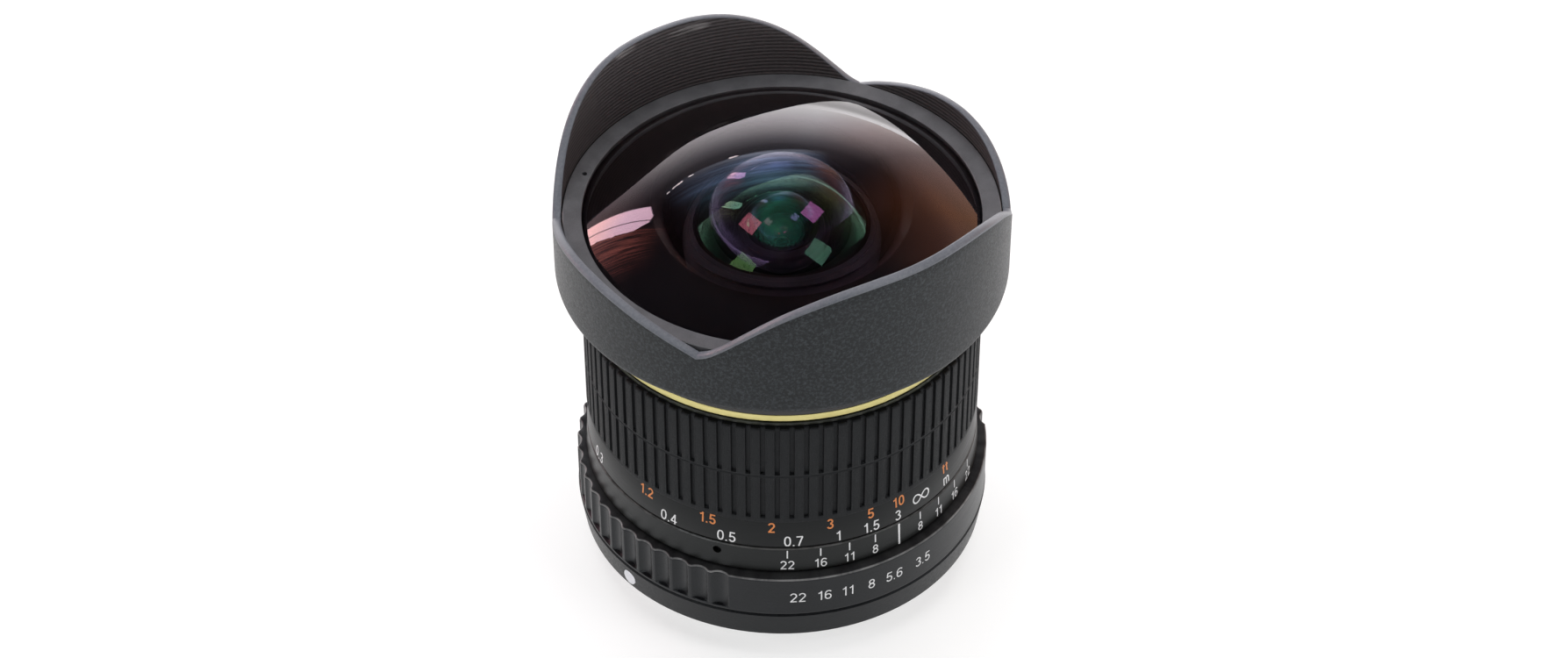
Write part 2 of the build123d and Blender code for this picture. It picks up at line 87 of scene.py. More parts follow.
# ------------------------------------------------------------------ mesh helpers
def link(name, verts, faces, body, mat, sharp=32, mats=None, face_mats=None, recalc=True):
    """Mesh from millimetre vertices, riding on a body."""
    me = bpy.data.meshes.new(name)
    me.from_pydata([(x * MM, y * MM, z * MM) for x, y, z in verts], [], [list(f) for f in faces])
    for m in mats or [mat]:
        me.materials.append(m)
    if face_mats is not None:
        me.polygons.foreach_set("material_index", np.array(face_mats, dtype=np.int32))
    if recalc:
        bm = bmesh.new()
        bm.from_mesh(me)
        bmesh.ops.remove_doubles(bm, verts=bm.verts, dist=1e-7)
        bmesh.ops.recalc_face_normals(bm, faces=bm.faces)
        bm.to_mesh(me)
        bm.free()
    me.polygons.foreach_set("use_smooth", np.ones(len(me.polygons), dtype=bool))
    me.set_sharp_from_angle(angle=math.radians(sharp))
    me.update()
    ob = bpy.data.objects.new(name, me)
    scene.collection.objects.link(ob)
    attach(ob, body)
    return ob


def rounded(points, radius=0.12, n=3):
    """Closed polygon with small arcs at its corners. A corner's own radius may follow its r and z."""
    out = []
    m = len(points)
    for i, p in enumerate(points):
        rad = p[2] if len(p) > 2 else radius
        a, b, c = np.array(points[i - 1][:2], float), np.array(p[:2], float), np.array(points[(i + 1) % m][:2], float)
        u, v = a - b, c - b
        lu, lv = np.linalg.norm(u), np.linalg.norm(v)
        u, v = u / lu, v / lv
        cosang = float(np.clip(u @ v, -1, 1))
        if rad <= 0 or cosang < -0.9995:
            out.append(tuple(b))
            continue
        half = math.acos(cosang) / 2
        t = min(rad / math.tan(half), lu * 0.45, lv * 0.45)
        r = t * math.tan(half)
        centre = b + (u + v) / np.linalg.norm(u + v) * (r / math.sin(half))
        s, e = b + u * t - centre, b + v * t - centre
        sweep = math.pi - 2 * half
        turn = math.copysign(1, s[0] * e[1] - s[1] * e[0])
        for k in range(n + 1):
            q = turn * sweep * k / n
            out.append((centre[0] + s[0] * math.cos(q) - s[1] * math.sin(q), centre[1] + s[0] * math.sin(q) + s[1] * math.cos(q)))
    return out


def revolve(profile, seg, radius_at=None, height_at=None):
    """Vertices and quads of a closed profile turned round the axis."""
    th = np.arange(seg) * 2 * math.pi / seg
    p = np.array(profile, float)
    rr = np.repeat(p[None, :, 0], seg, 0)
    zz = np.repeat(p[None, :, 1], seg, 0)
    if radius_at is not None:
        rr = radius_at(np.degrees(th)[:, None], rr, zz)
    if height_at is not None:
        zz = height_at(np.degrees(th)[:, None], rr, zz)
    x, y = rr * np.cos(th)[:, None], rr * np.sin(th)[:, None]
    verts = np.stack([x, y, zz], -1).reshape(-1, 3)
    k = len(profile)
    faces = []
    for i in range(seg):
        j = (i + 1) % seg
        for a in range(k):
            b = (a + 1) % k
            faces.append((i * k + a, j * k + a, j * k + b, i * k + b))
    return verts.tolist(), faces


def smooth_table(table, x):
    """Monotone cubic through (x, y) pairs."""
    xs = np.array([a for a, b in table], float)
    ys = np.array([b for a, b in table], float)
    h = np.diff(xs)
    d = np.diff(ys) / h
    m = np.zeros(len(xs))
    for i in range(1, len(xs) - 1):
        if d[i - 1] * d[i] > 0:
            w1, w2 = 2 * h[i] + h[i - 1], h[i] + 2 * h[i - 1]
            m[i] = (w1 + w2) / (w1 / d[i - 1] + w2 / d[i])
    m[-1] = d[-1]
    x = np.clip(x, xs[0], xs[-1])
    i = np.clip(np.searchsorted(xs, x, side="right") - 1, 0, len(xs) - 2)
    t = (x - xs[i]) / h[i]
    return ((1 + 2 * t) * (1 - t) ** 2 * ys[i] + t * (1 - t) ** 2 * h[i] * m[i]
            + t * t * (3 - 2 * t) * ys[i + 1] + t * t * (t - 1) * h[i] * m[i + 1])


def rim_height(deg):
    """Height of the hood's rim at an angle, large petals centred on +Y and -Y."""
    deg = np.asarray(deg, float)
    off_big = np.abs((deg - 90 + 90) % 180 - 90)
    off_small = np.abs((deg + 90) % 180 - 90)
    return np.where(off_big <= NOTCH_DEG, smooth_table(BIG, off_big), smooth_table(SMALL, off_small))


# ------------------------------------------------------------------ materials
COOL = (0.90, 0.96, 1.0)          # black finishes mirror the room slightly bluish


class Mat:
    """Small wrapper that makes node trees easier to read."""

    def __init__(self, name, colour=(0.5, 0.5, 0.5), rough=0.5, metal=0.0, spec=0.5, ior=1.5):
        self.m = bpy.data.materials.new(name)
        self.m.use_nodes = True
        self.t = self.m.node_tree
        self.b = self.t.nodes["Principled BSDF"]
        self.out = self.t.nodes["Material Output"]
        self.set("Base Color", (*colour, 1))
        self.set("Roughness", rough)
        self.set("Metallic", metal)
        self.set("Specular IOR Level", spec)
        self.set("IOR", ior)
        self.set("Specular Tint", (*COOL, 1) if spec < 0.4 and not metal else (1, 1, 1, 1))

    def set(self, name, value):
        self.b.inputs[name].default_value = value

    def node(self, kind, **props):
        n = self.t.nodes.new(kind)
        for k, v in props.items():
            setattr(n, k, v)
        return n

    def link(self, a, b):
        self.t.links.new(a, b)

    def coords(self):
        if not hasattr(self, "_c"):
            self._c = self.node("ShaderNodeTexCoord").outputs["Object"]
        return self._c

    def cyl(self):
        """(arc length, radius, height) in millimetres, so that patterns follow the turning."""
        if hasattr(self, "_cyl"):
            return self._cyl
        s = self.node("ShaderNodeSeparateXYZ")
        self.link(self.coords(), s.inputs[0])
        ang = self.math("ARCTAN2", s.outputs[1], s.outputs[0])
        xx = self.math("MULTIPLY", s.outputs[0], s.outputs[0])
        yy = self.math("MULTIPLY", s.outputs[1], s.outputs[1])
        r = self.math("SQRT", self.math("ADD", xx, yy))
        self.angle, self.r, self.z = ang, self.math("MULTIPLY", r, 1000.0), self.math("MULTIPLY", s.outputs[2], 1000.0)
        c = self.node("ShaderNodeCombineXYZ")
        self.link(self.math("MULTIPLY", ang, 34.0), c.inputs[0])
        self.link(self.r, c.inputs[1])
        self.link(self.z, c.inputs[2])
        self._cyl = c.outputs[0]
        return self._cyl

    def math(self, op, a, b=None, c=None):
        n = self.node("ShaderNodeMath", operation=op)
        for i, v in enumerate((a, b, c)):
            if v is None:
                continue
            if isinstance(v, (int, float)):
                n.inputs[i].default_value = v
            else:
                self.link(v, n.inputs[i])
        return n.outputs[0]

    def scaled(self, vector, sx, sy, sz):
        n = self.node("ShaderNodeVectorMath", operation="MULTIPLY")
        self.link(vector, n.inputs[0])
        n.inputs[1].default_value = (sx, sy, sz)
        return n.outputs[0]

    def noise(self, vector, scale, detail=2.0, rough=0.5, dist=0.0):
        n = self.node("ShaderNodeTexNoise")
        self.link(vector, n.inputs["Vector"])
        n.inputs["Scale"].default_value = scale
        n.inputs["Detail"].default_value = detail
        n.inputs["Roughness"].default_value = rough
        n.inputs["Distortion"].default_value = dist
        return n.outputs["Fac"]

    def voronoi(self, vector, scale, feature="F1"):
        n = self.node("ShaderNodeTexVoronoi", feature=feature)
        self.link(vector, n.inputs["Vector"])
        n.inputs["Scale"].default_value = scale
        return n.outputs["Distance"]

    def map(self, value, a, b, c, d, smooth=False):
        n = self.node("ShaderNodeMapRange")
        if smooth:
            n.interpolation_type = "SMOOTHSTEP"
        self.link(value, n.inputs["Value"])
        for k, v in zip(("From Min", "From Max", "To Min", "To Max"), (a, b, c, d)):
            n.inputs[k].default_value = v
        return n.outputs["Result"]

    def mix(self, fac, a, b, blend="MIX"):
        n = self.node("ShaderNodeMix", data_type="RGBA", blend_type=blend)
        for sock, v in ((n.inputs[0], fac), (n.inputs[6], a), (n.inputs[7], b)):
            if isinstance(v, (int, float)):
                sock.default_value = v
            elif isinstance(v, tuple):
                sock.default_value = (*v, 1)
            else:
                self.link(v, sock)
        return n.outputs[2]

    def colour(self, sock):
        self.link(sock, self.b.inputs["Base Color"])

    def roughness(self, sock):
        self.link(sock, self.b.inputs["Roughness"])

    def bump(self, height, strength, distance_mm, on=None):
        n = self.node("ShaderNodeBump")
        n.inputs["Strength"].default_value = strength
        n.inputs["Distance"].default_value = distance_mm * MM
        self.link(height, n.inputs["Height"])
        if on is not None:
            self.link(on, n.inputs["Normal"])
        self.link(n.outputs["Normal"], self.b.inputs["Normal"])
        return n.outputs["Normal"]


def plastic_speckle(name, dark, light, rough=0.5, grain=0.30, spec=0.5, spots=None):
    """Moulded plastic with a fine spark-eroded grain and pale specks."""
    m = Mat(name, dark, rough, spec=spec)
    v = m.scaled(m.coords(), 1000, 1000, 1000)
    big = m.noise(v, 1.0 / grain, 3.0, 0.65)
    fine = m.noise(v, 2.6 / grain, 2.0, 0.6)
    blot = m.noise(v, 0.09, 3.0, 0.5)
    speck = m.map(fine, 0.60, 0.74, 0.0, 1.0, True)
    base = m.mix(m.map(big, 0.35, 0.7, 0.0, 1.0), dark, tuple((a + b) / 2 for a, b in zip(dark, light)))
    base = m.mix(m.math("MULTIPLY", speck, 0.75), base, light)
    base = m.mix(m.map(blot, 0.3, 0.75, 0.0, 0.25), base, tuple(x * 1.5 for x in light))
    if spots:
        coarse = m.noise(v, spots[0], 3.0, 0.75)
        base = m.mix(m.map(coarse, 0.42, 0.70, 0.0, 1.0, True), base, spots[1])
    m.colour(base)
    m.roughness(m.map(big, 0.3, 0.7, rough - 0.08, rough + 0.1))
    h = m.math("ADD", m.math("MULTIPLY", big, 0.7), m.math("MULTIPLY", fine, 0.5))
    m.bump(h, 0.55, 0.05)
    return m


def anodised(name, dark, rough=0.38, spec=0.5, lines=True, light=None, line_strength=0.35, edge=None):
    """Black-anodised, finely turned aluminium. edge lists height ranges (lower, upper, colour) where a pale line is
    painted on as a highlight, broken by noise.
    """
    m = Mat(name, dark, rough, spec=spec)
    c = m.cyl()
    turned_lines = m.noise(m.scaled(c, 0.012, 1.0, 1.0), 9.0, 3.0, 0.6)
    grain = m.noise(m.scaled(m.coords(), 1000, 1000, 1000), 5.5, 2.0, 0.6)
    blot = m.noise(m.scaled(m.coords(), 1000, 1000, 1000), 0.16, 3.0, 0.55)
    lighter = light or tuple(x * 1.55 for x in dark)
    base = m.mix(m.map(blot, 0.3, 0.75, 0.0, 1.0), dark, lighter)
    # painted highlight: a pale line in each height range, broken up by noise
    for z0, z1, pale in edge or []:
        band = m.math("MULTIPLY", m.map(m.z, z0 - 0.02, z0 + 0.02, 0.0, 1.0), m.map(m.z, z1 + 0.02, z1 - 0.02, 0.0, 1.0))
        wear_and_painted_highlight = m.map(m.noise(m.scaled(c, 0.35, 0.1, 0.1), 1.0, 3.0, 0.6), 0.35, 0.62, 0.25, 1.0)
        base = m.mix(m.math("MULTIPLY", band, wear_and_painted_highlight), base, pale)
    m.colour(base)
    m.roughness(m.math("ADD", m.map(turned_lines, 0.3, 0.7, rough - 0.06, rough + 0.06), m.map(grain, 0.2, 0.8, -0.04, 0.04)))
    h = m.math("ADD", m.math("MULTIPLY", turned_lines, 1.0 if lines else 0.2), m.math("MULTIPLY", grain, 0.55))
    m.bump(h, line_strength, 0.02)
    return m


def metal(name, colour, rough, spread=0.08, scale=6.0):
    m = Mat(name, colour, rough, metal=1.0)
    n1 = m.noise(m.scaled(m.coords(), 1000, 1000, 1000), scale, 3.0, 0.6)
    n2 = m.noise(m.scaled(m.cyl(), 0.03, 1, 1), 7.0, 2.0, 0.5)
    m.roughness(m.map(n1, 0.3, 0.7, rough - spread, rough + spread))
    m.colour(m.mix(m.map(n2, 0.3, 0.7, 0, 0.35), colour, tuple(x * 0.75 for x in colour)))
    m.bump(n2, 0.12, 0.01)
    return m


def paint(name, colour, rough=0.45):
    m = Mat(name, colour, rough)
    v = m.scaled(m.coords(), 1000, 1000, 1000)
    n1 = m.noise(v, 5.0, 3.0, 0.6)
    n2 = m.noise(v, 1.3, 2.0, 0.6)
    m.colour(m.mix(m.map(n2, 0.3, 0.75, 0, 0.5), colour, tuple(x * 0.82 for x in colour)))
    m.roughness(m.map(n1, 0.3, 0.7, rough - 0.08, rough + 0.12))
    m.bump(n1, 0.3, 0.01)
    return m


MAT = {}
MAT["hood"] = plastic_speckle("hood_outer", (0.0006, 0.0008, 0.0010), (0.006, 0.0075, 0.009), 0.40, 0.40, spec=0.28,
                              spots=(1.9, (0.027, 0.032, 0.036)))


def hood_inner():
    m = Mat("hood_inner", (0.016, 0.0125, 0.0125), 0.62, spec=0.35)
    c = m.cyl()
    wave = m.math("SINE", m.math("MULTIPLY", m.z, 2 * math.pi / 0.72))
    grooves = m.map(wave, -1.0, 1.0, 0.0, 1.0)
    fine = m.noise(m.scaled(c, 0.6, 1, 1.4), 3.2, 3.0, 0.65)
    scuff = m.noise(m.scaled(c, 0.10, 1, 0.9), 0.8, 4.0, 0.7)
    # two scuffed places near the top of the far petal
    def place(a, half_a, zc, half_z):
        u = m.math("DIVIDE", m.math("SUBTRACT", m.angle, math.radians(a)), math.radians(half_a))
        v = m.math("DIVIDE", m.math("SUBTRACT", m.z, zc), half_z)
        d = m.math("ADD", m.math("MULTIPLY", u, u), m.math("MULTIPLY", v, v))
        return m.map(d, 0.35, 1.0, 1.0, 0.0, True)

    rubbed = m.math("MAXIMUM", place(80.5, 7.5, 76.3, 0.95), place(100.5, 4.5, 77.2, 1.0))
    wear_and_painted_highlight = m.math("MULTIPLY", m.map(scuff, 0.42, 0.62, 0.0, 1.0, True), rubbed)
    # painted shade and highlight: the groove troughs are coloured darker and the crests lighter, on top of the grooves'
    # bump
    base = m.mix(grooves, (0.037, 0.0325, 0.0335), (0.082, 0.073, 0.0755))
    base = m.mix(m.map(fine, 0.35, 0.75, 0.0, 0.6), base, (0.115, 0.104, 0.104))
    base = m.mix(m.math("MULTIPLY", wear_and_painted_highlight, 0.75), base, (0.26, 0.25, 0.25))
    m.colour(base)
    m.roughness(m.map(fine, 0.3, 0.7, 0.55, 0.72))
    h = m.math("ADD", grooves, m.math("MULTIPLY", fine, 0.35))
    m.bump(h, 0.8, 0.09)
    return m


MAT["hood_inner"] = hood_inner()
# painted highlight: the rim is the hood's plastic made many times lighter, standing for the light on its top and bevels
MAT["hood_rim_painted_highlight"] = plastic_speckle("hood_rim_painted_highlight", (0.078, 0.084, 0.100), (0.150, 0.159, 0.178), 0.36, 0.42, spec=0.50)


def rubber():
    m = Mat("grip_rubber", (0.018, 0.0185, 0.0195), 0.58, spec=0.27)
    v = m.scaled(m.coords(), 1000, 1000, 1000)
    n1 = m.noise(v, 4.5, 3.0, 0.6)
    n2 = m.noise(v, 0.35, 3.0, 0.6)
    m.cyl()
    top = m.map(m.r, 32.5, 33.3, 0.0, 1.0)
    base = m.mix(top, (0.0085, 0.0090, 0.0100), (0.0036, 0.0039, 0.0046))
    base = m.mix(m.map(n2, 0.4, 0.8, 0, 0.35), base, (0.010, 0.0104, 0.011))
    base = m.mix(m.map(n1, 0.56, 0.76, 0, 0.3), base, (0.018, 0.0185, 0.0195))
    m.colour(base)
    m.roughness(m.map(n1, 0.3, 0.7, 0.52, 0.74))
    m.bump(n1, 0.4, 0.03)
    return m


MAT["rubber"] = rubber()
# the edge ranges paint pale highlight lines along the top edges of the scale band, index ring and aperture ring; the
# scale band's second range makes the lip under the gold ring a paler olive
MAT["scale"] = anodised("scale_band", (0.0022, 0.0022, 0.0019), 0.36, spec=0.24, line_strength=0.3, edge=[(24.97, 25.14, (0.15, 0.155, 0.145)), (46.30, 47.1, (0.040, 0.043, 0.030))])
MAT["index"] = anodised("index_band", (0.0032, 0.0034, 0.0028), 0.34, spec=0.29, line_strength=0.35, edge=[(18.93, 19.13, (0.10, 0.10, 0.098))])
MAT["aperture"] = anodised("aperture_band", (0.0036, 0.0038, 0.0046), 0.32, spec=0.30, line_strength=0.25, edge=[(13.50, 13.735, (0.20, 0.20, 0.20))])
MAT["base"] = plastic_speckle("base_band", (0.0012, 0.0013, 0.0016), (0.011, 0.012, 0.014), 0.36, 0.45, spec=0.22)
MAT["black"] = anodised("black_anodised", (0.009, 0.009, 0.0095), 0.45, spec=0.2)
MAT["neck"] = anodised("neck_black", (0.008, 0.008, 0.0085), 0.36)


def trim_mat():
    m = Mat("trim_ring_black", (0.04, 0.041, 0.043), 0.42, spec=0.5)
    c = m.cyl()
    lines = m.noise(m.scaled(c, 0.01, 1.0, 0.4), 11.0, 3.0, 0.65)
    grain = m.noise(m.scaled(m.coords(), 1000, 1000, 1000), 6.0, 2.0, 0.6)
    blot = m.noise(m.scaled(m.coords(), 1000, 1000, 1000), 0.25, 3.0, 0.6)
    base = m.mix(m.map(blot, 0.35, 0.75, 0, 1), (0.060, 0.060, 0.065), (0.090, 0.090, 0.097))
    m.colour(m.mix(m.map(grain, 0.58, 0.76, 0, 0.4), base, (0.16, 0.16, 0.165)))
    m.roughness(m.map(lines, 0.3, 0.7, 0.34, 0.5))
    m.bump(m.math("ADD", lines, m.math("MULTIPLY", grain, 0.4)), 0.4, 0.03)
    return m


MAT["trim"] = trim_mat()


def gold_mat():
    m = Mat("accent_gold", (0.62, 0.56, 0.23), 0.34, metal=0.75)
    c = m.cyl()
    lines = m.noise(m.scaled(c, 0.015, 1.0, 1.0), 12.0, 2.0, 0.6)
    blot = m.noise(m.scaled(c, 0.2, 1, 1), 0.8, 3.0, 0.6)
    m.colour(m.mix(m.map(blot, 0.3, 0.75, 0, 0.8), (0.66, 0.60, 0.26), (0.50, 0.44, 0.16)))
    m.roughness(m.map(lines, 0.3, 0.7, 0.28, 0.42))
    m.bump(lines, 0.25, 0.02)
    return m


MAT["gold"] = gold_mat()
MAT["white_mark"] = paint("white_mark", (0.78, 0.79, 0.80), 0.5)
MAT["orange_mark"] = paint("orange_mark", (0.72, 0.235, 0.055), 0.5)
MAT["dot"] = paint("white_dot", (0.80, 0.82, 0.86), 0.4)
MAT["chrome"] = metal("chrome_mount", (0.72, 0.72, 0.71), 0.20)
MAT["steel"] = metal("steel", (0.56, 0.56, 0.57), 0.30)
MAT["black_screw"] = metal("black_oxide", (0.055, 0.055, 0.058), 0.42)
MAT["brass"] = metal("brass", (0.72, 0.54, 0.26), 0.32)
MAT["blade"] = metal("blade_black", (0.07, 0.07, 0.072), 0.40)
MAT["baffle"] = plastic_speckle("baffle_black", (0.012, 0.012, 0.0125), (0.028, 0.028, 0.029), 0.55, 0.35)
MAT["seal"] = plastic_speckle("seal_rubber", (0.010, 0.010, 0.010), (0.02, 0.02, 0.02), 0.6, 0.3)


def edge_black():
    m = Mat("glass_edge_black", (0.004, 0.0038, 0.0045), 0.55, spec=0.2)
    n = m.noise(m.scaled(m.coords(), 1000, 1000, 1000), 3.0, 3.0, 0.6)
    m.colour(m.mix(m.map(n, 0.3, 0.75, 0, 1), (0.0030, 0.0028, 0.0034), (0.0065, 0.006, 0.007)))
    m.roughness(m.map(n, 0.3, 0.7, 0.5, 0.65))
    return m


MAT["edge_black"] = edge_black()
# painted reflection: the front cell's bluish tint and paler bluish blotches stand in for the violet haze of reflections
# seen through the glass
MAT["cell"] = anodised("cell_painted_blue_haze", (0.011, 0.011, 0.016), 0.5, spec=0.3, light=(0.020, 0.020, 0.030))


def glass(name, tint, ior, film, film_ior=1.38, specular=(1.0, 1.0, 1.0), lamps=0.35):
    """Clear coated glass. Rays from lamps pass, so that what is behind it is lit."""
    m = Mat(name, tint, 0.0, ior=ior)
    m.set("Transmission Weight", 1.0)
    m.set("Thin Film Thickness", film)
    m.set("Thin Film IOR", film_ior)
    m.set("Specular Tint", (*specular, 1))
    n = m.noise(m.scaled(m.coords(), 1000, 1000, 1000), 0.12, 2.0, 0.5)
    m.colour(m.mix(m.map(n, 0.3, 0.7, 0.0, 1.0), tint, tuple(x * 0.985 for x in tint)))
    path = m.node("ShaderNodeLightPath")
    clear = m.node("ShaderNodeBsdfTransparent")
    clear.inputs[0].default_value = (lamps, lamps, lamps, 1)
    mixer = m.node("ShaderNodeMixShader")
    m.link(path.outputs["Is Shadow Ray"], mixer.inputs[0])
    m.link(m.b.outputs[0], mixer.inputs[1])
    m.link(clear.outputs[0], mixer.inputs[2])
    m.link(mixer.outputs[0], m.out.inputs["Surface"])
    return m


MAT["front_glass"] = glass("front_glass", (0.93, 0.92, 0.95), 1.62, 0.0, 1.38, (1.0, 0.87, 0.95))
MAT["bowl_glass"] = glass("bowl_glass", (0.93, 0.92, 0.95), 1.62, 0.0, 1.38, (0.52, 0.36, 0.80))
MAT["glass_2"] = glass("glass_second", (0.92, 0.96, 1.0), 1.60, 0.0, 1.38, (0.12, 0.70, 0.36), lamps=0.4)
MAT["glass_2_rear"] = glass("glass_second_rear", (0.92, 0.96, 1.0), 1.60, 0.0, 1.38, (0.25, 0.55, 0.85), lamps=0.4)
MAT["glass_3"] = glass("glass_third", (0.93, 1.0, 0.96), 1.60, 0.0, 1.38, (0.10, 0.66, 0.24), lamps=0.6)
MAT["glass_mid"] = glass("glass_mid", (0.95, 0.97, 0.93), 1.62, 0.0, 1.38, (1.0, 0.35, 0.75), lamps=0.8)
MAT["glass_rear"] = glass("glass_rear", (0.95, 1.0, 0.95), 1.65, 0.0, 1.38, (0.5, 1.0, 0.6), lamps=0.8)

# ------------------------------------------------------------------ materials of the carried-over nodes
GIVE = {
    "chrome": ["bayonet_mount"],
    "steel": ["mount_screws", "cam_sleeve_screws", "iris_housing_screws", "iris_retainer_screws", "front_cell_screws",
              "click_spring_screw", "click_ball", "click_spring", "focus_follower_pins", "aperture_drive_pin"],
    "black_screw": ["hood_screws", "front_barrel_set_screws", "index_set_screws"],
    "baffle": ["rear_baffle", "iris_retainer"],
    "base": ["base_ring"],
    "dot": ["mount_index_dot"],
    "edge_black": ["front_seal"],
    "cell": ["front_cell", "front_cell_retainer"],
    "black": ["main_barrel", "cam_sleeve", "focus_cell", "rear_cell", "element_3_retainer", "focus_cell_retainer", "rear_doublet_ring", "rear_spacer", "rear_retainer", "iris_housing"],
    "neck": ["front_barrel"],
    "index": ["index_ring"],
    "gold": ["accent_ring"],
    "hood": ["petal_hood"],
    "trim": ["trim_ring"],
    "front_glass": ["front_element"],
    "glass_2": ["element_2"],
    "glass_3": ["element_3"],
    "glass_mid": ["element_4", "element_5"],
    "glass_rear": ["element_6", "element_7", "element_8", "element_9", "element_10"],
    "aperture": ["aperture_ring"],
    "scale": ["focus_ring"],
    "rubber": ["rubber_grip"],
    "brass": ["iris_actuator"],
    "blade": [f"iris_blade_{k}" for k in range(1, 7)],
}
for key, names in GIVE.items():
    for n in names:
        me = NODES[n].data
        me.materials.clear()
        me.materials.append(MAT[key].m)

# ------------------------------------------------------------------ hood
def build_hood():
    seg = 720
    deg = np.arange(seg) * 360.0 / seg
    top = rim_height(deg)
    # the notch points are kept as true corners
    rows = []          # (radius, height as a function of the rim, material)
    e = 0.28
    cols = []
    for i in range(seg):
        h = top[i]
        c = [(35.05, 53.62, 0), (36.75, 53.62, 0), (37.05, 53.68, 0), (37.27, 53.85, 0), (37.42, 54.10, 0), (37.48, 54.4, 0), (37.5, 54.8, 0)]
        for f in (0.15, 0.35, 0.55, 0.75, 0.9):
            c.append((37.5, 54.8 + (h - e - 54.8) * f, 0))
        c += [(37.5, h - 0.55, 1), (37.46, h - 0.38, 1), (37.35, h - 0.24, 1), (37.17, h - 0.13, 1), (36.95, h - 0.06, 1),
              (36.7, h - 0.02, 1), (36.45, h, 1), (HOOD_IN + 0.2, h, 1), (HOOD_IN + 0.06, h - 0.06, 1), (HOOD_IN, h - 0.2, 2)]
        for f in (0.85, 0.65, 0.45, 0.25, 0.1):
            c.append((HOOD_IN, 62.62 + (h - 0.2 - 62.62) * f, 2))
        c += [(HOOD_IN, 62.62, 2), (33.15, 62.62, 2), (33.15, 60.42, 0), (35.05, 60.42, 0)]
        cols.append(c)
    k = len(cols[0])
    th = np.radians(deg)
    verts, faces, fm = [], [], []
    for i in range(seg):
        ca, sa = math.cos(th[i]), math.sin(th[i])
        for r, z, m in cols[i]:
            verts.append((r * ca, r * sa, z))
    for i in range(seg):
        j = (i + 1) % seg
        for a in range(k):
            b = (a + 1) % k
            faces.append((i * k + a, j * k + a, j * k + b, i * k + b))
            m = cols[0][a][2] if cols[0][a][2] == cols[0][b][2] else max(cols[0][a][2] if cols[0][a][2] != 2 else 1, 0)
            if cols[0][a][2] == 2 and cols[0][b][2] == 2:
                m = 2
            fm.append(m)
    ob = link("petal_hood_shell", verts, faces, "fixed_barrel", None, sharp=38,
              mats=[MAT["hood"].m, MAT["hood_rim_painted_highlight"].m, MAT["hood_inner"].m], face_mats=fm)
    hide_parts("petal_hood")
    return ob


build_hood()


# ------------------------------------------------------------------ rubber grip
def build_grip():
    pitch = 360.0 / N_RIBS
    mm = math.degrees(1 / 33.36)          # degrees for a millimetre at the surface
    half = pitch / mm                     # mm in a pitch
    # (distance from the groove's middle, depth): flat floor, steep wall, small rounding, then the rib's top with a fine line
    side = [(0.05, 0.50), (0.33, 0.50), (0.375, 0.47), (0.395, 0.33), (0.41, 0.09), (0.43, 0.03), (0.47, 0.0), (0.66, 0.0), (0.70, 0.022), (0.74, 0.0)]
    prof = side + [(half / 2, 0.0)] + [(half - d, q) for d, q in reversed(side)]
    ang, depth = [], []
    for i in range(N_RIBS):
        for d, q in prof:
            ang.append(i * pitch + d * mm)
            depth.append(q)
    ang, depth = np.array(ang), np.array(depth)
    R = 33.36
    rows = [(31.6, 25.12, 0), (33.06, 25.12, 0), (33.24, 25.16, 0), (33.33, 25.27, 0), (R, 25.42, 0), (R, 26.05, 0),
            (R, 26.20, 0.10), (R, 26.30, 0.55), (R, 26.46, 1), (R, 28.5, 1), (R, 31.5, 1), (R, 35.12, 1), (R, 35.28, 0.55), (R, 35.36, 0.10),
            (R, 35.45, 0), (33.30, 35.58, 0), (33.27, 35.70, 0), (33.30, 35.82, 0), (R, 35.95, 0), (R, 36.04, 0.10), (R, 36.12, 0.55),
            (R, 36.28, 1), (R, 38.5, 1), (R, 42.0, 1), (R, 45.70, 1), (33.33, 45.90, 1), (33.25, 46.05, 1), (33.10, 46.15, 1), (31.6, 46.15, 0)]
    k = len(rows)
    verts, faces = [], []
    for a, d in zip(np.radians(ang), depth):
        for r, z, g in rows:
            q = r - d * g
            verts.append((q * math.cos(a), q * math.sin(a), z))
    n = len(ang)
    for i in range(n):
        j = (i + 1) % n
        for a in range(k):
            b = (a + 1) % k
            faces.append((i * k + a, j * k + a, j * k + b, i * k + b))
    ob = link("ribbed_grip", verts, faces, "focus_ring", MAT["rubber"].m, sharp=28)
    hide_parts("rubber_grip")


build_grip()


# ------------------------------------------------------------------ focus ring shell with the scale band and the lip
def build_focus_ring():
    prof = rounded([(30.0, 19.62, 0), (33.40, 19.62, 0.10), (32.86, 25.1, 0.05), (31.5, 25.1, 0), (31.5, 46.35, 0), (32.55, 46.35, 0.06),
                    (32.55, 47.0, 0.12), (27.0, 47.0, 0), (27.0, 45.5, 0), (30.0, 45.5, 0)])
    v, f = revolve(prof, 360)
    ob = link("focus_ring_shell", v, f, "focus_ring", MAT["scale"].m, sharp=40)
    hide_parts("focus_ring")


build_focus_ring()


# ------------------------------------------------------------------ aperture ring with scooped flutes
FLUTE_PITCH, FLUTE_N, FLUTE_FIRST = 5.87, 43, 220.4 - 2.93


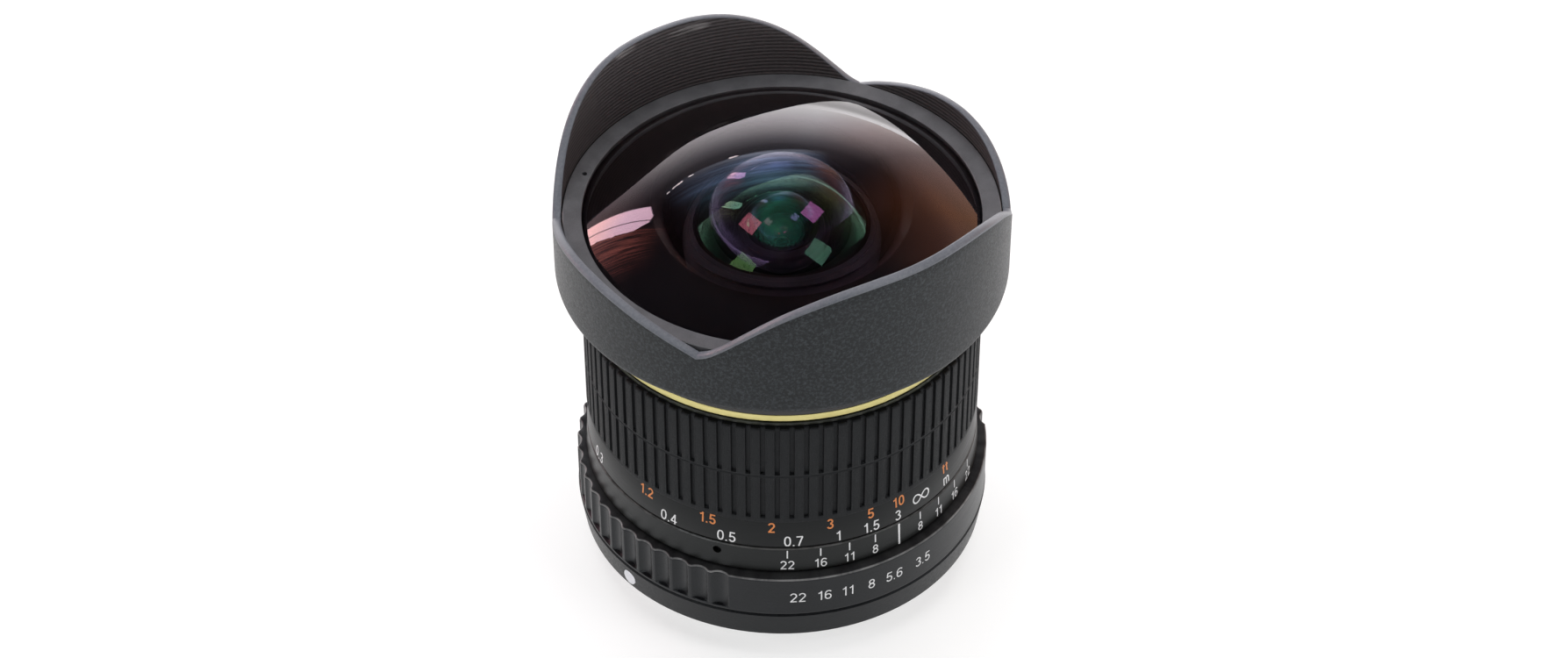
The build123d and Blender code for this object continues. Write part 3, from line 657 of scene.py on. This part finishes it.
def build_aperture_ring():
    seg = 1472
    R = 35.30

    def scoop(deg):
        """Depth of the flute at an angle, round-bottomed."""
        off = (FLUTE_FIRST - deg) % 360.0
        i = np.round(off / FLUTE_PITCH)
        d = (off - i * FLUTE_PITCH)
        wrapped = off > 360.0 - FLUTE_PITCH / 2
        i = np.where(wrapped, 0, i)
        d = np.where(wrapped, off - 360.0, d)
        inside = (i >= 0) & (i < FLUTE_N)
        s = np.abs(d) * math.pi / 180 * R
        g = np.sqrt(np.clip(2.2 ** 2 - s * s, 0, None)) - 1.60
        return np.where(inside, np.clip(g, 0, None), 0.0)

    prof = [(31.06, 5.55), (35.05, 5.55), (35.22, 5.59), (35.30, 5.75), (35.30, 6.00)]
    zs = [6.06, 6.12, 6.18, 6.24, 6.30, 6.36, 6.42, 7.2, 8.0, 9.5, 11.0, 12.2, 13.1, 13.5]
    prof += [(R, z) for z in zs]
    prof += [(35.26, 13.60), (35.17, 13.70), (35.05, 13.75), (34.0, 13.75), (31.06, 13.75)]

    def radius_at(deg, rr, zz):
        g = scoop(deg)
        fade = np.clip((zz - 6.05) / 0.34, 0, 1)
        fade = fade * fade * (3 - 2 * fade)
        return np.where(rr > 34.9, rr - g * fade, rr)          # the rim's bevel follows the flute

    v, f = revolve(prof, seg, radius_at)
    ob = link("aperture_ring_fluted", v, f, "aperture_ring", MAT["aperture"].m, sharp=34)
    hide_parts("aperture_ring")


build_aperture_ring()


# ------------------------------------------------------------------ gold ring
def build_gold():
    prof = rounded([(31.5, 47.25, 0), (32.50, 47.25, 0.14), (32.50, 48.55, 0.14), (31.5, 48.55, 0)], n=4)
    v, f = revolve(prof, 360)
    ob = link("gold_band", v, f, "fixed_barrel", MAT["gold"].m, sharp=40)
    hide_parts("accent_ring")


build_gold()


# ------------------------------------------------------------------ glass
def cap_profile(z0, radius, clear, n):
    """Points of a sphere's generating curve from the axis outwards."""
    big = abs(radius)
    out = []
    for i in range(n + 1):
        a = math.asin(clear / big) * i / n
        r = big * math.sin(a)
        out.append((r, z0 - math.copysign(big - big * math.cos(a), radius)))
    return out


def build_lens(name, node, z1, r1, f_clear, z2, r2, clear, edge, mat, body, seg=192, n=24, rear_mat=None, painted=None):
    """Element with fine spherical faces. Its edge and flat rims are blackened."""
    front = cap_profile(z1, r1, f_clear, n)
    rear = cap_profile(z2, r2, clear, n)
    prof, kinds = [], []
    for p in front[1:]:
        prof.append(p)
        kinds.append(1 if painted and p[0] > painted else 0)          # some fronts carry a black-painted rim
    if edge > f_clear + 1e-6:
        prof.append((edge, front[-1][1]))
        kinds.append(1)
    kinds[-1] = 1
    prof.append((edge, rear[-1][1]))
    kinds.append(1)
    if edge > clear + 1e-6:
        prof.append(rear[-1])
        kinds.append(2)
    else:
        kinds[-1] = 2
    for p in rear[-2:0:-1]:
        prof.append(p)
        kinds.append(2)
    # kinds[i] is the face between profile point i and i + 1
    seg_a = np.arange(seg) * 2 * math.pi / seg
    verts, faces, fm = [], [], []
    for a in seg_a:
        for r, z in prof:
            verts.append((r * math.cos(a), r * math.sin(a), z))
    k = len(prof)
    top_i = len(verts)
    verts.append((0, 0, z1))
    low_i = len(verts)
    verts.append((0, 0, z2))
    first_flat = len(front) - 1
    for i in range(seg):
        j = (i + 1) % seg
        for a in range(k - 1):
            faces.append((i * k + a, j * k + a, j * k + a + 1, i * k + a + 1))
            fm.append(kinds[a])
        faces.append((top_i, j * k, i * k))
        fm.append(0)
        faces.append((low_i, i * k + k - 1, j * k + k - 1))
        fm.append(2)
    me_mats = [mat.m, MAT["edge_black"].m, (rear_mat or mat).m]
    ob = link(name, verts, faces, body, None, sharp=30, mats=me_mats, face_mats=fm)
    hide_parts(node)
    return ob


build_lens("front_glass_dome", "front_element", 75.0, 51.0, 33.0, 72.6, 21.0, 19.08, 33.0, MAT["front_glass"], "fixed_barrel",
           seg=256, n=48, rear_mat=MAT["bowl_glass"])
build_lens("second_glass", "element_2", 64.8, 34.0, 17.3, 62.6, 13.0, 12.2, 17.3, MAT["glass_2"], "fixed_barrel",
           rear_mat=MAT["glass_2_rear"], painted=15.9)
build_lens("third_glass", "element_3", 53.0, -40.0, 7.8, 51.8, 12.0, 7.8, 9.5, MAT["glass_3"], "fixed_barrel")
build_lens("fourth_glass", "element_4", 45.8, 20.0, 9.0, 39.5, -14.0, 9.0, 9.5, MAT["glass_mid"], "focus_group")


# ------------------------------------------------------------------ numerals, drawn from strokes of even width
def bow(cx, cy, rx, ry, a0, a1, n=14, power=2.0):
    """Points along an ellipse or squarer curve, degrees counted counterclockwise from the right."""
    out = []
    for i in range(n + 1):
        a = math.radians(a0 + (a1 - a0) * i / n)
        c, q = math.cos(a), math.sin(a)
        out.append((cx + rx * math.copysign(abs(c) ** (2 / power), c), cy + ry * math.copysign(abs(q) ** (2 / power), q)))
    return out


def shapes(t):
    """Strokes of every sign for half a stroke width t, with cap height 1. Each is (width, [(points, closed)])."""
    lo, hi = t, 1 - t
    out = {}
    w = 0.56
    m, h = w / 2, w / 2 - t
    out["0"] = (w, [(bow(m, 0.5, h, 0.5 - t, 0, 360, 36, 2.4)[:-1], True)])
    out["1"] = (0.44, [([(0.31, 0), (0.31, 1)], False), ([(0.06, 0.76), (0.20, 0.80), (0.31, 0.93)], False)])
    out["2"] = (w, [(bow(m, 0.70, h, 0.30 - t, 168, -32, 18) + [(t + 0.02, lo + 0.02)], False), ([(0.02, lo), (w - 0.02, lo)], False)])
    out["3"] = (w, [(bow(m - 0.01, 0.745, h - 0.02, 0.255 - t, 160, -90, 16), False), (bow(m - 0.01, 0.285, h, 0.285 - t, 90, -160, 18), False)])
    out["4"] = (w, [([(0.40, 0), (0.40, 1)], False), ([(0.40, 0.97), (0.06, 0.31)], False), ([(0.0, 0.27), (0.57, 0.27)], False)])
    out["5"] = (w, [([(0.10, hi), (w - 0.05, hi)], False), ([(0.14, 1), (0.09, 0.46)], False),
                    (bow(m, 0.32, h, 0.32 - t, 138, -158, 18), False)])
    six = [(bow(m, 0.315, h, 0.315 - t, 0, 360, 28)[:-1], True),
           (bow(m + 0.03, 0.62, h + 0.03, 0.38 - t, 38, 180, 12) + [(t, 0.32)], False)]
    out["6"] = (w, six)
    out["9"] = (w, [([(w - x, 1 - y) for x, y in pts], c) for pts, c in six])
    out["7"] = (w, [([(0.02, hi), (w - 0.02, hi)], False), ([(w - 0.05, hi - 0.02), (0.34, 0.48), (0.20, 0)], False)])
    out["8"] = (w, [(bow(m, 0.745, h - 0.025, 0.255 - t, 0, 360, 28)[:-1], True), (bow(m, 0.285, h, 0.285 - t, 0, 360, 28)[:-1], True)])
    out["."] = (0.16, [([(0.08, 0), (0.08, 2 * t)], False)])
    out[":"] = (0.18, [([(0.09, 0.12), (0.09, 0.12 + 2 * t)], False), ([(0.09, 0.62), (0.09, 0.62 + 2 * t)], False)])
    x = 0.74
    a = 0.17
    out["m"] = (4 * a + 2 * t, [([(t, 0), (t, x)], False), (bow(t + a, x - a - t + 0.0, a, a, 180, 0, 12) + [(t + 2 * a, 0)], False),
                                (bow(t + 3 * a, x - a - t, a, a, 180, 0, 12) + [(t + 4 * a, 0)], False)])
    out["f"] = (0.34, [(bow(0.28, 0.80, 0.13, 0.20 - t, 95, 180, 8) + [(0.15, 0)], False), ([(0.0, 0.68), (0.33, 0.68)], False)])
    out["t"] = (0.34, [([(0.14, 0.92)] + bow(0.25, 0.17, 0.11, 0.17 - t, 180, 285, 8), False), ([(0.0, 0.68), (0.32, 0.68)], False)])
    return out


def ribbon_mesh(points, closed, width):
    """Left and right edges of a stroke, mitred at its bends."""
    n = len(points)
    p = np.array(points, float)
    left, right = [], []
    for i in range(n):
        a = p[i - 1] if (closed or i > 0) else None
        b = p[(i + 1) % n] if (closed or i < n - 1) else None
        d1 = (p[i] - a) if a is not None else (b - p[i])
        d2 = (b - p[i]) if b is not None else d1
        d1, d2 = d1 / (np.linalg.norm(d1) or 1), d2 / (np.linalg.norm(d2) or 1)
        t = d1 + d2
        t = t / (np.linalg.norm(t) or 1)
        nrm = np.array([-t[1], t[0]])
        k = width / 2 / max(0.55, float(nrm @ np.array([-d1[1], d1[0]])))
        left.append(p[i] + nrm * k)
        right.append(p[i] - nrm * k)
    return left, right


def print_on(name, text, rel, z_mid, height, radius, body, mat, stroke=0.14, stretch=1.0, gap=0.13):
    """Text wrapped round a ring. rel is the angle of its middle from the index line; radius may depend on height."""
    book = shapes(stroke / 2)
    total = sum(book[c][0] for c in text) + gap * (len(text) - 1)
    tall = 0.74 if text in ("m", "mm") else 1.0
    x0 = -total / 2
    verts, faces = [], []
    for c in text:
        for level, (pts, closed) in enumerate(book[c][1]):
            left, right = ribbon_mesh(pts, closed, stroke)
            base = len(verts)
            # strokes that cross lie at slightly different heights
            for q_l, q_r in zip(left, right):
                for q in (q_l, q_r):
                    for lift in (-0.06, 0.020 + 0.0012 * level):
                        x = (x0 + q[0]) * height * stretch
                        z = z_mid + (q[1] - tall / 2) * height
                        r = radius(z) + lift
                        a = math.radians(INDEX + rel) + x / r
                        verts.append((r * math.cos(a), r * math.sin(a), z))
            n = len(left)
            for i in range(n if closed else n - 1):
                b, t = base + 4 * i, base + 4 * ((i + 1) % n)
                faces += [(b + 1, b + 3, t + 3, t + 1), (b, t, t + 2, b + 2), (b, b + 1, t + 1, t), (b + 2, t + 2, t + 3, b + 3)]
            if not closed:
                e = base + 4 * (n - 1)
                faces += [(base, base + 2, base + 3, base + 1), (e, e + 1, e + 3, e + 2)]
        x0 += book[c][0] + gap
    return link(name, verts, faces, body, mat.m)


def scale_r(z):
    return 33.40 + (32.86 - 33.40) * (z - 19.62) / 5.48


def index_r(z):
    return 33.71 + (33.43 - 33.71) * (z - 14.1) / 5.02


def ap_r(z):
    return 35.30


ORANGE = [("1.2", -78.3), ("1.5", -57.3), ("2", -38.5), ("3", -21.6), ("5", -9.2), ("10", 0.2), ("ft", 20.1)]
WHITE = [("0.3", -103.3), ("0.4", -69.8), ("0.5", -51.5), ("0.7", -32.2), ("1", -19.2), ("1.5", -9.1), ("3", -0.2), ("m", 20.2)]
for i, (t, rel) in enumerate(ORANGE):
    print_on(f"feet_{i}", t, rel, 23.70, 2.05, scale_r, "focus_ring", MAT["orange_mark"], 0.14)
for i, (t, rel) in enumerate(WHITE):
    print_on(f"metres_{i}", t, rel, 20.85, 2.05, scale_r, "focus_ring", MAT["white_mark"], 0.12)
for i, (t, rel) in enumerate([("22", -31.2), ("16", -23.9), ("11", -17.3), ("8", -10.4), ("5.6", -3.3), ("3.5", 6.6)]):
    print_on(f"stop_{i}", t, rel, 9.55, 2.10, ap_r, "aperture_ring", MAT["white_mark"], 0.105)
# plain depth-of-field numbers on both sides of the index line
DEPTH = [("22", -34.0), ("16", -24.5), ("11", -16.0), ("8", -8.0), ("8", 8.0), ("11", 16.0), ("16", 24.5), ("22", 34.0)]
for i, (t, rel) in enumerate(DEPTH):
    print_on(f"depth_{i}", t, rel, 15.65, 1.85, index_r, "fixed_barrel", MAT["white_mark"], 0.115)


def strip(name, rel, width, z0, z1, radius, body, mat):
    """Thin painted line along the axis."""
    verts, faces = [], []
    n = 6
    for i in range(n + 1):
        z = z0 + (z1 - z0) * i / n
        for s in (-1, 1):
            for lift in (-0.06, 0.02):
                r = radius(z) + lift
                a = math.radians(INDEX + rel) + s * width / 2 / r
                verts.append((r * math.cos(a), r * math.sin(a), z))
    for i in range(n):
        b, t = 4 * i, 4 * (i + 1)
        faces += [(b + 1, b + 3, t + 3, t + 1), (b, t, t + 2, b + 2), (b, b + 1, t + 1, t), (b + 2, t + 2, t + 3, b + 3)]
    faces += [(0, 2, 3, 1), (4 * n, 4 * n + 1, 4 * n + 3, 4 * n + 2)]
    return link(name, verts, faces, body, mat.m)


strip("index_line", 0.0, 0.36, 14.4, 18.90, index_r, "fixed_barrel", MAT["white_mark"])
for i, (t, rel) in enumerate(DEPTH):
    strip(f"depth_tick_{i}", rel, 0.22, 17.15, 18.80, index_r, "fixed_barrel", MAT["white_mark"])


def infinity(name, rel, z_mid, width, height, thick, radius, body, mat):
    n = 72
    pts = []
    for i in range(n):
        t = 2 * math.pi * i / n
        den = 1 + math.sin(t) ** 2
        pts.append((width / 2 * math.cos(t) / den, height / 2 * 2.83 * math.sin(t) * math.cos(t) / den))
    verts, faces = [], []
    for i in range(n):
        a, b = pts[i - 1], pts[(i + 1) % n]
        dx, dy = b[0] - a[0], b[1] - a[1]
        m = math.hypot(dx, dy) or 1
        nx, ny = -dy / m * thick / 2, dx / m * thick / 2
        for s in (-1, 1):
            for lift in (-0.06, 0.02):
                x, z = pts[i][0] + s * nx, z_mid + pts[i][1] + s * ny
                r = radius(z) + lift
                q = math.radians(INDEX + rel) + x / r
                verts.append((r * math.cos(q), r * math.sin(q), z))
    for i in range(n):
        b, t = 4 * i, 4 * ((i + 1) % n)
        faces += [(b + 1, t + 1, t + 3, b + 3), (b, b + 2, t + 2, t), (b, t, t + 1, b + 1), (b + 2, b + 3, t + 3, t + 2)]
    return link(name, verts, faces, body, mat.m, recalc=True)


infinity("far_mark", 8.7, 22.0, 3.6, 1.65, 0.27, scale_r, "focus_ring", MAT["white_mark"])

# ------------------------------------------------------------------ floor and light
def build_floor():
    me = bpy.data.meshes.new("floor")
    z = (cad_lo.z) - 0.00005
    n, rad = 96, 9.0
    verts = [(0, 0, z)] + [(rad * math.cos(2 * math.pi * i / n), rad * math.sin(2 * math.pi * i / n), z) for i in range(n)]
    faces = [(0, i + 1, (i + 1) % n + 1) for i in range(n)]
    me.from_pydata(verts, [], faces)
    m = Mat("floor_white", (0.42, 0.42, 0.42), 0.8, spec=0.0)
    n1 = m.noise(m.coords(), 40.0, 3.0, 0.5)
    m.colour(m.mix(m.map(n1, 0.3, 0.7, 0, 1), (0.42, 0.42, 0.42), (0.43, 0.43, 0.43)))
    m.cyl()
    m.b.inputs["Emission Color"].default_value = (1, 1, 1, 1)
    glow = m.map(m.r, 450.0, 1400.0, 0.62, 2.1, True)
    across = m.node("ShaderNodeVectorMath", operation="DOT_PRODUCT")
    m.link(m.coords(), across.inputs[0])
    across.inputs[1].default_value = (0.814, -0.581, 0.0)
    m.link(m.math("MULTIPLY", glow, m.map(across.outputs["Value"], 0.04, 0.6, 1.0, 1.35, True)), m.b.inputs["Emission Strength"])
    me.materials.append(m.m)
    ob = bpy.data.objects.new("floor", me)
    scene.collection.objects.link(ob)


build_floor()


def build_world():
    """Dim studio with a pale sweep behind the object that fades upwards, and a window to one side."""
    w = bpy.data.worlds.new("studio")
    scene.world = w
    w.use_nodes = True
    t = w.node_tree
    t.nodes.clear()
    out = t.nodes.new("ShaderNodeOutputWorld")
    bg = t.nodes.new("ShaderNodeBackground")
    t.links.new(bg.outputs[0], out.inputs[0])

    def val(op, a, b=None, c=None):
        n = t.nodes.new("ShaderNodeMath")
        n.operation = op
        for i, v in enumerate((a, b, c)):
            if v is None:
                continue
            if isinstance(v, (int, float)):
                n.inputs[i].default_value = v
            else:
                t.links.new(v, n.inputs[i])
        return n.outputs[0]

    def ramp(value, stops, interp="LINEAR"):
        n = t.nodes.new("ShaderNodeValToRGB")
        n.color_ramp.interpolation = interp
        el = n.color_ramp.elements
        while len(el) > 1:
            el.remove(el[-1])
        el[0].position, el[0].color = stops[0][0], (*stops[0][1], 1)
        for p, c in stops[1:]:
            e = el.new(p)
            e.color = (*c, 1)
        t.links.new(value, n.inputs[0])
        return n.outputs[0]

    def mult(a, b, kind="MULTIPLY"):
        n = t.nodes.new("ShaderNodeVectorMath")
        n.operation = kind
        for i, v in enumerate((a, b)):
            if isinstance(v, tuple):
                n.inputs[i].default_value = v
            else:
                t.links.new(v, n.inputs[i])
        return n.outputs[0]

    def step(x, a, b):
        n = t.nodes.new("ShaderNodeMapRange")
        n.interpolation_type = "SMOOTHSTEP"
        t.links.new(x, n.inputs["Value"])
        n.inputs["From Min"].default_value, n.inputs["From Max"].default_value = a, b
        return n.outputs["Result"]

    co = t.nodes.new("ShaderNodeTexCoord").outputs["Generated"]
    s = t.nodes.new("ShaderNodeSeparateXYZ")
    t.links.new(co, s.inputs[0])
    x, y, z = s.outputs
    bx, by = -TOWARDS.x, -TOWARDS.y
    m = math.hypot(bx, by)
    bx, by = bx / m, by / m
    back = val("ADD", val("MULTIPLY", x, bx), val("MULTIPLY", y, by))
    side = val("ADD", val("MULTIPLY", x, by), val("MULTIPLY", y, -bx))
    az = val("MULTIPLY", val("ARCTAN2", side, back), 180 / math.pi)        # 0 behind, positive to the right
    el = val("MULTIPLY", val("ARCSINE", z), 180 / math.pi)
    e01 = val("DIVIDE", val("ADD", el, 20.0), 110.0)                      # -20..90 to 0..1
    a01 = val("DIVIDE", val("ADD", az, 180.0), 360.0)

    def E(v):
        return (v + 20.0) / 110.0

    def A(v):
        return (v + 180.0) / 360.0

    sweep = ramp(e01, [(E(-20), (2.5, 2.5, 2.5)), (E(0), (2.6, 2.6, 2.6)), (E(10), (2.55, 2.5, 2.55)), (E(16), (2.2, 2.15, 2.2)),
                       (E(21), (1.62, 1.6, 1.64)), (E(26), (0.86, 0.86, 0.92)), (E(31), (0.33, 0.33, 0.37)), (E(38), (0.15, 0.15, 0.18)),
                       (E(60), (0.08, 0.08, 0.08)), (E(90), (0.05, 0.05, 0.05))])
    around = ramp(a01, [(A(-180), (0.06, 0.06, 0.06)), (A(-120), (0.10, 0.10, 0.10)), (A(-85), (0.20, 0.18, 0.18)), (A(-58), (0.22, 0.12, 0.12)),
                        (A(-44), (0.35, 0.27, 0.27)), (A(-36), (0.55, 0.50, 0.50)), (A(-27), (0.9, 0.88, 0.86)), (A(-14), (1, 1, 1)),
                        (A(6), (1, 1, 1)), (A(15), (0.72, 0.62, 0.60)), (A(24), (0.36, 0.28, 0.26)), (A(32), (0.38, 0.24, 0.19)),
                        (A(45), (0.43, 0.22, 0.12)), (A(60), (0.26, 0.20, 0.17)), (A(85), (0.22, 0.21, 0.21)), (A(120), (0.10, 0.10, 0.10)),
                        (A(180), (0.06, 0.06, 0.06))])
    room = mult(sweep, around)
    # warm wall to the right, which doesn't fade as fast as the sweep
    warm = val("MULTIPLY", val("MULTIPLY", step(az, 22.0, 44.0), step(az, 95.0, 66.0)), val("MULTIPLY", step(el, 12.0, 22.0), step(el, 62.0, 30.0)))
    room = mult(room, mult((0.36, 0.13, 0.06), warm), "ADD")
    # window to the left: slanting top, cut corners, a glazing bar and an uneven sill
    def noise(scale_az, scale_el, detail, seed):
        c = t.nodes.new("ShaderNodeCombineXYZ")
        t.links.new(val("MULTIPLY", az, scale_az), c.inputs[0])
        t.links.new(val("MULTIPLY", el, scale_el), c.inputs[1])
        c.inputs[2].default_value = seed
        n = t.nodes.new("ShaderNodeTexNoise")
        n.inputs["Scale"].default_value = 1.0
        n.inputs["Detail"].default_value = detail
        t.links.new(c.outputs[0], n.inputs["Vector"])
        return n.outputs["Fac"]

    slant = val("SUBTRACT", az, val("MULTIPLY", val("SUBTRACT", el, 15.0), 0.1667))
    sill = val("SUBTRACT", az, val("MULTIPLY", noise(0.0, 0.55, 3.0, 4.0), 3.4))
    right_1 = val("ADD", el, val("MULTIPLY", val("MAXIMUM", val("SUBTRACT", -51.0, az), 0.0), 1.33))
    right_2 = val("ADD", right_1, val("MULTIPLY", val("MAXIMUM", val("ADD", az, 48.0), 0.0), 0.9))
    bar = val("ABSOLUTE", val("SUBTRACT", val("ADD", az, 51.0), val("MULTIPLY", val("SUBTRACT", el, 16.0), 0.053)))
    win = val("MULTIPLY", step(slant, -46.6, -47.4), step(sill, -56.3, -55.9))
    win = val("MULTIPLY", win, val("MULTIPLY", step(el, 10.5, 11.5), step(right_2, 37.2, 36.4)))
    win = val("MULTIPLY", win, val("ADD", 0.22, val("MULTIPLY", step(bar, 0.10, 0.34), 0.78)))
    room = mult(room, mult((7.6, 5.3, 6.3), win), "ADD")
    room = mult(room, mult((1.6, 0.3, -1.0), val("MULTIPLY", win, step(el, 28.0, 14.0))), "ADD")
    # timber wall below it, in rough boards
    boards = step(noise(1.5, 0.05, 3.0, 9.0), 0.36, 0.70)
    streak = val("MULTIPLY", val("MULTIPLY", step(az, -78.0, -58.0), step(az, -53.0, -54.5)), val("MULTIPLY", step(el, 8.0, 16.0), step(el, 47.0, 30.0)))
    room = mult(room, mult((2.1, 0.66, 0.50), val("MULTIPLY", streak, boards)), "ADD")
    # row of small ceiling lamps beyond the sweep
    row = val("MULTIPLY", step(el, 34.30, 34.42), step(el, 34.88, 34.76))
    lit = val("ADD", val("ADD", val("MULTIPLY", step(az, -38.0, -37.7), step(az, -36.6, -36.9)), val("MULTIPLY", step(az, -35.6, -35.3), step(az, -31.0, -31.3))),
              val("ADD", val("MULTIPLY", step(az, -29.3, -29.0), step(az, -27.0, -27.3)), val("MULTIPLY", step(az, -15.6, -15.3), step(az, -12.6, -12.9))))
    room = mult(room, mult((9.5, 8.8, 8.4), val("MULTIPLY", row, lit)), "ADD")
    # pale surroundings near the floor on both sides
    low = step(el, 16.0, 7.0)
    right = val("MULTIPLY", step(az, 52.0, 70.0), step(az, 150.0, 115.0))
    left = val("MULTIPLY", step(az, -52.0, -70.0), step(az, -150.0, -115.0))
    room = mult(room, mult((1.0, 1.0, 1.0), val("MULTIPLY", right, low)), "ADD")
    room = mult(room, mult((0.7, 0.7, 0.7), val("MULTIPLY", left, low)), "ADD")
    t.links.new(room, bg.inputs["Color"])
    bg.inputs["Strength"].default_value = 1.0


build_world()


def softbox(name, az, el, dist, size_x, size_y, power, colour=(1, 1, 1), mirrored=True, lights=True):
    """Rectangular lamp aimed at the object. az is measured like the camera's: 0 stands at -Y, positive towards +X."""
    d = bpy.data.lights.new(name, "AREA")
    d.shape = "RECTANGLE"
    d.size, d.size_y = size_x, size_y
    d.energy = power
    d.color = colour
    o = bpy.data.objects.new(name, d)
    a, e = math.radians(az), math.radians(el)
    v = Vector((math.sin(a) * math.cos(e), -math.cos(a) * math.cos(e), math.sin(e)))
    o.location = LOOK + v * dist
    o.rotation_mode = "QUATERNION"
    o.rotation_quaternion = v.to_track_quat("Z", "Y")
    o.visible_camera = False
    o.visible_glossy = mirrored
    o.visible_transmission = mirrored
    o.visible_diffuse = lights
    scene.collection.objects.link(o)
    # tinted lamps are for the glass alone; the plain ones for everything else
    dome = bpy.data.collections.new(name + "_reach")
    dome.objects.link(bpy.data.objects["front_glass_dome"])
    o.light_linking.receiver_collection = dome
    dome.collection_objects[0].light_linking.link_state = "EXCLUDE" if lights else "INCLUDE"
    return o


softbox("box_left", -35.5 - 48, 39, 1.5, 0.52, 0.52, 6.6, (1.0, 0.36, 0.24), lights=False)
softbox("box_right", -35.5 + 60, 50, 1.5, 0.52, 0.52, 6.0, (0.90, 0.38, 0.52), lights=False)
softbox("fill_left", -35.5 - 48, 39, 1.5, 0.52, 0.52, 4.2)
softbox("fill_right", -35.5 + 60, 50, 1.5, 0.52, 0.52, 4.2)
# bluish skylight above the sweep, seen in the dome only: streaky, and soft towards its top and ends
def skylight(az0, az1, el0, el1, glow):
    mid, half = math.radians((el0 + el1) / 2), math.radians((az1 - az0) / 2)
    wide, tall = 3.0 * math.cos(mid) * math.tan(half), 1.5 * math.radians(el1 - el0)
    o = softbox("skylight", 144.5 - (az0 + az1) / 2, math.degrees(mid), 1.5, wide, tall, glow * math.pi * wide * tall, lights=False)
    o.data.use_nodes = True
    t = o.data.node_tree
    em = t.nodes["Emission"]
    uv = t.nodes.new("ShaderNodeSeparateXYZ")
    t.links.new(t.nodes.new("ShaderNodeNewGeometry").outputs["Parametric"], uv.inputs[0])

    def val(op, a, b):
        n = t.nodes.new("ShaderNodeMath")
        n.operation = op
        for i, x in enumerate((a, b)):
            if isinstance(x, (int, float)):
                n.inputs[i].default_value = x
            else:
                t.links.new(x, n.inputs[i])
        return n.outputs[0]

    def ramp(fac, stops):
        r = t.nodes.new("ShaderNodeValToRGB")
        r.color_ramp.interpolation = "EASE"
        while len(r.color_ramp.elements) < len(stops):
            r.color_ramp.elements.new(0.5)
        for e, (x, c) in zip(r.color_ramp.elements, stops):
            e.position, e.color = x, (*c, 1)
        t.links.new(fac, r.inputs[0])
        return r.outputs[0]

    t.links.new(ramp(uv.outputs[1], [(0.0, (0.0, 0.0, 0.0)), (0.06, (0.62, 0.74, 0.90)), (0.16, (0.42, 0.62, 0.92)), (0.40, (0.36, 0.62, 1.0)),
                                     (0.62, (0.14, 0.34, 0.46)), (1.0, (0.0, 0.03, 0.03))]), em.inputs["Color"])
    ends = ramp(uv.outputs[0], [(0.0, (0, 0, 0)), (0.22, (0.6, 0.6, 0.6)), (0.40, (1, 1, 1)), (0.62, (0.45, 0.45, 0.45)), (1.0, (0, 0, 0))])
    v = t.nodes.new("ShaderNodeCombineXYZ")
    t.links.new(val("MULTIPLY", uv.outputs[0], 0.9), v.inputs[0])
    t.links.new(val("MULTIPLY", val("ADD", uv.outputs[1], val("MULTIPLY", uv.outputs[0], 0.10)), 11.0), v.inputs[1])
    n = t.nodes.new("ShaderNodeTexNoise")
    n.inputs["Scale"].default_value = 1.0
    n.inputs["Detail"].default_value = 3.0
    t.links.new(v.outputs[0], n.inputs["Vector"])
    streaks = val("MULTIPLY", val("MAXIMUM", val("SUBTRACT", n.outputs["Fac"], 0.28), 0.0), 4.2)
    t.links.new(val("MULTIPLY", ends, streaks), em.inputs["Strength"])


skylight(-46, 19, 35.2, 60, 2.3)
softbox("overhead", -35.5 + 180, 78, 1.7, 1.6, 1.6, 34, mirrored=False)
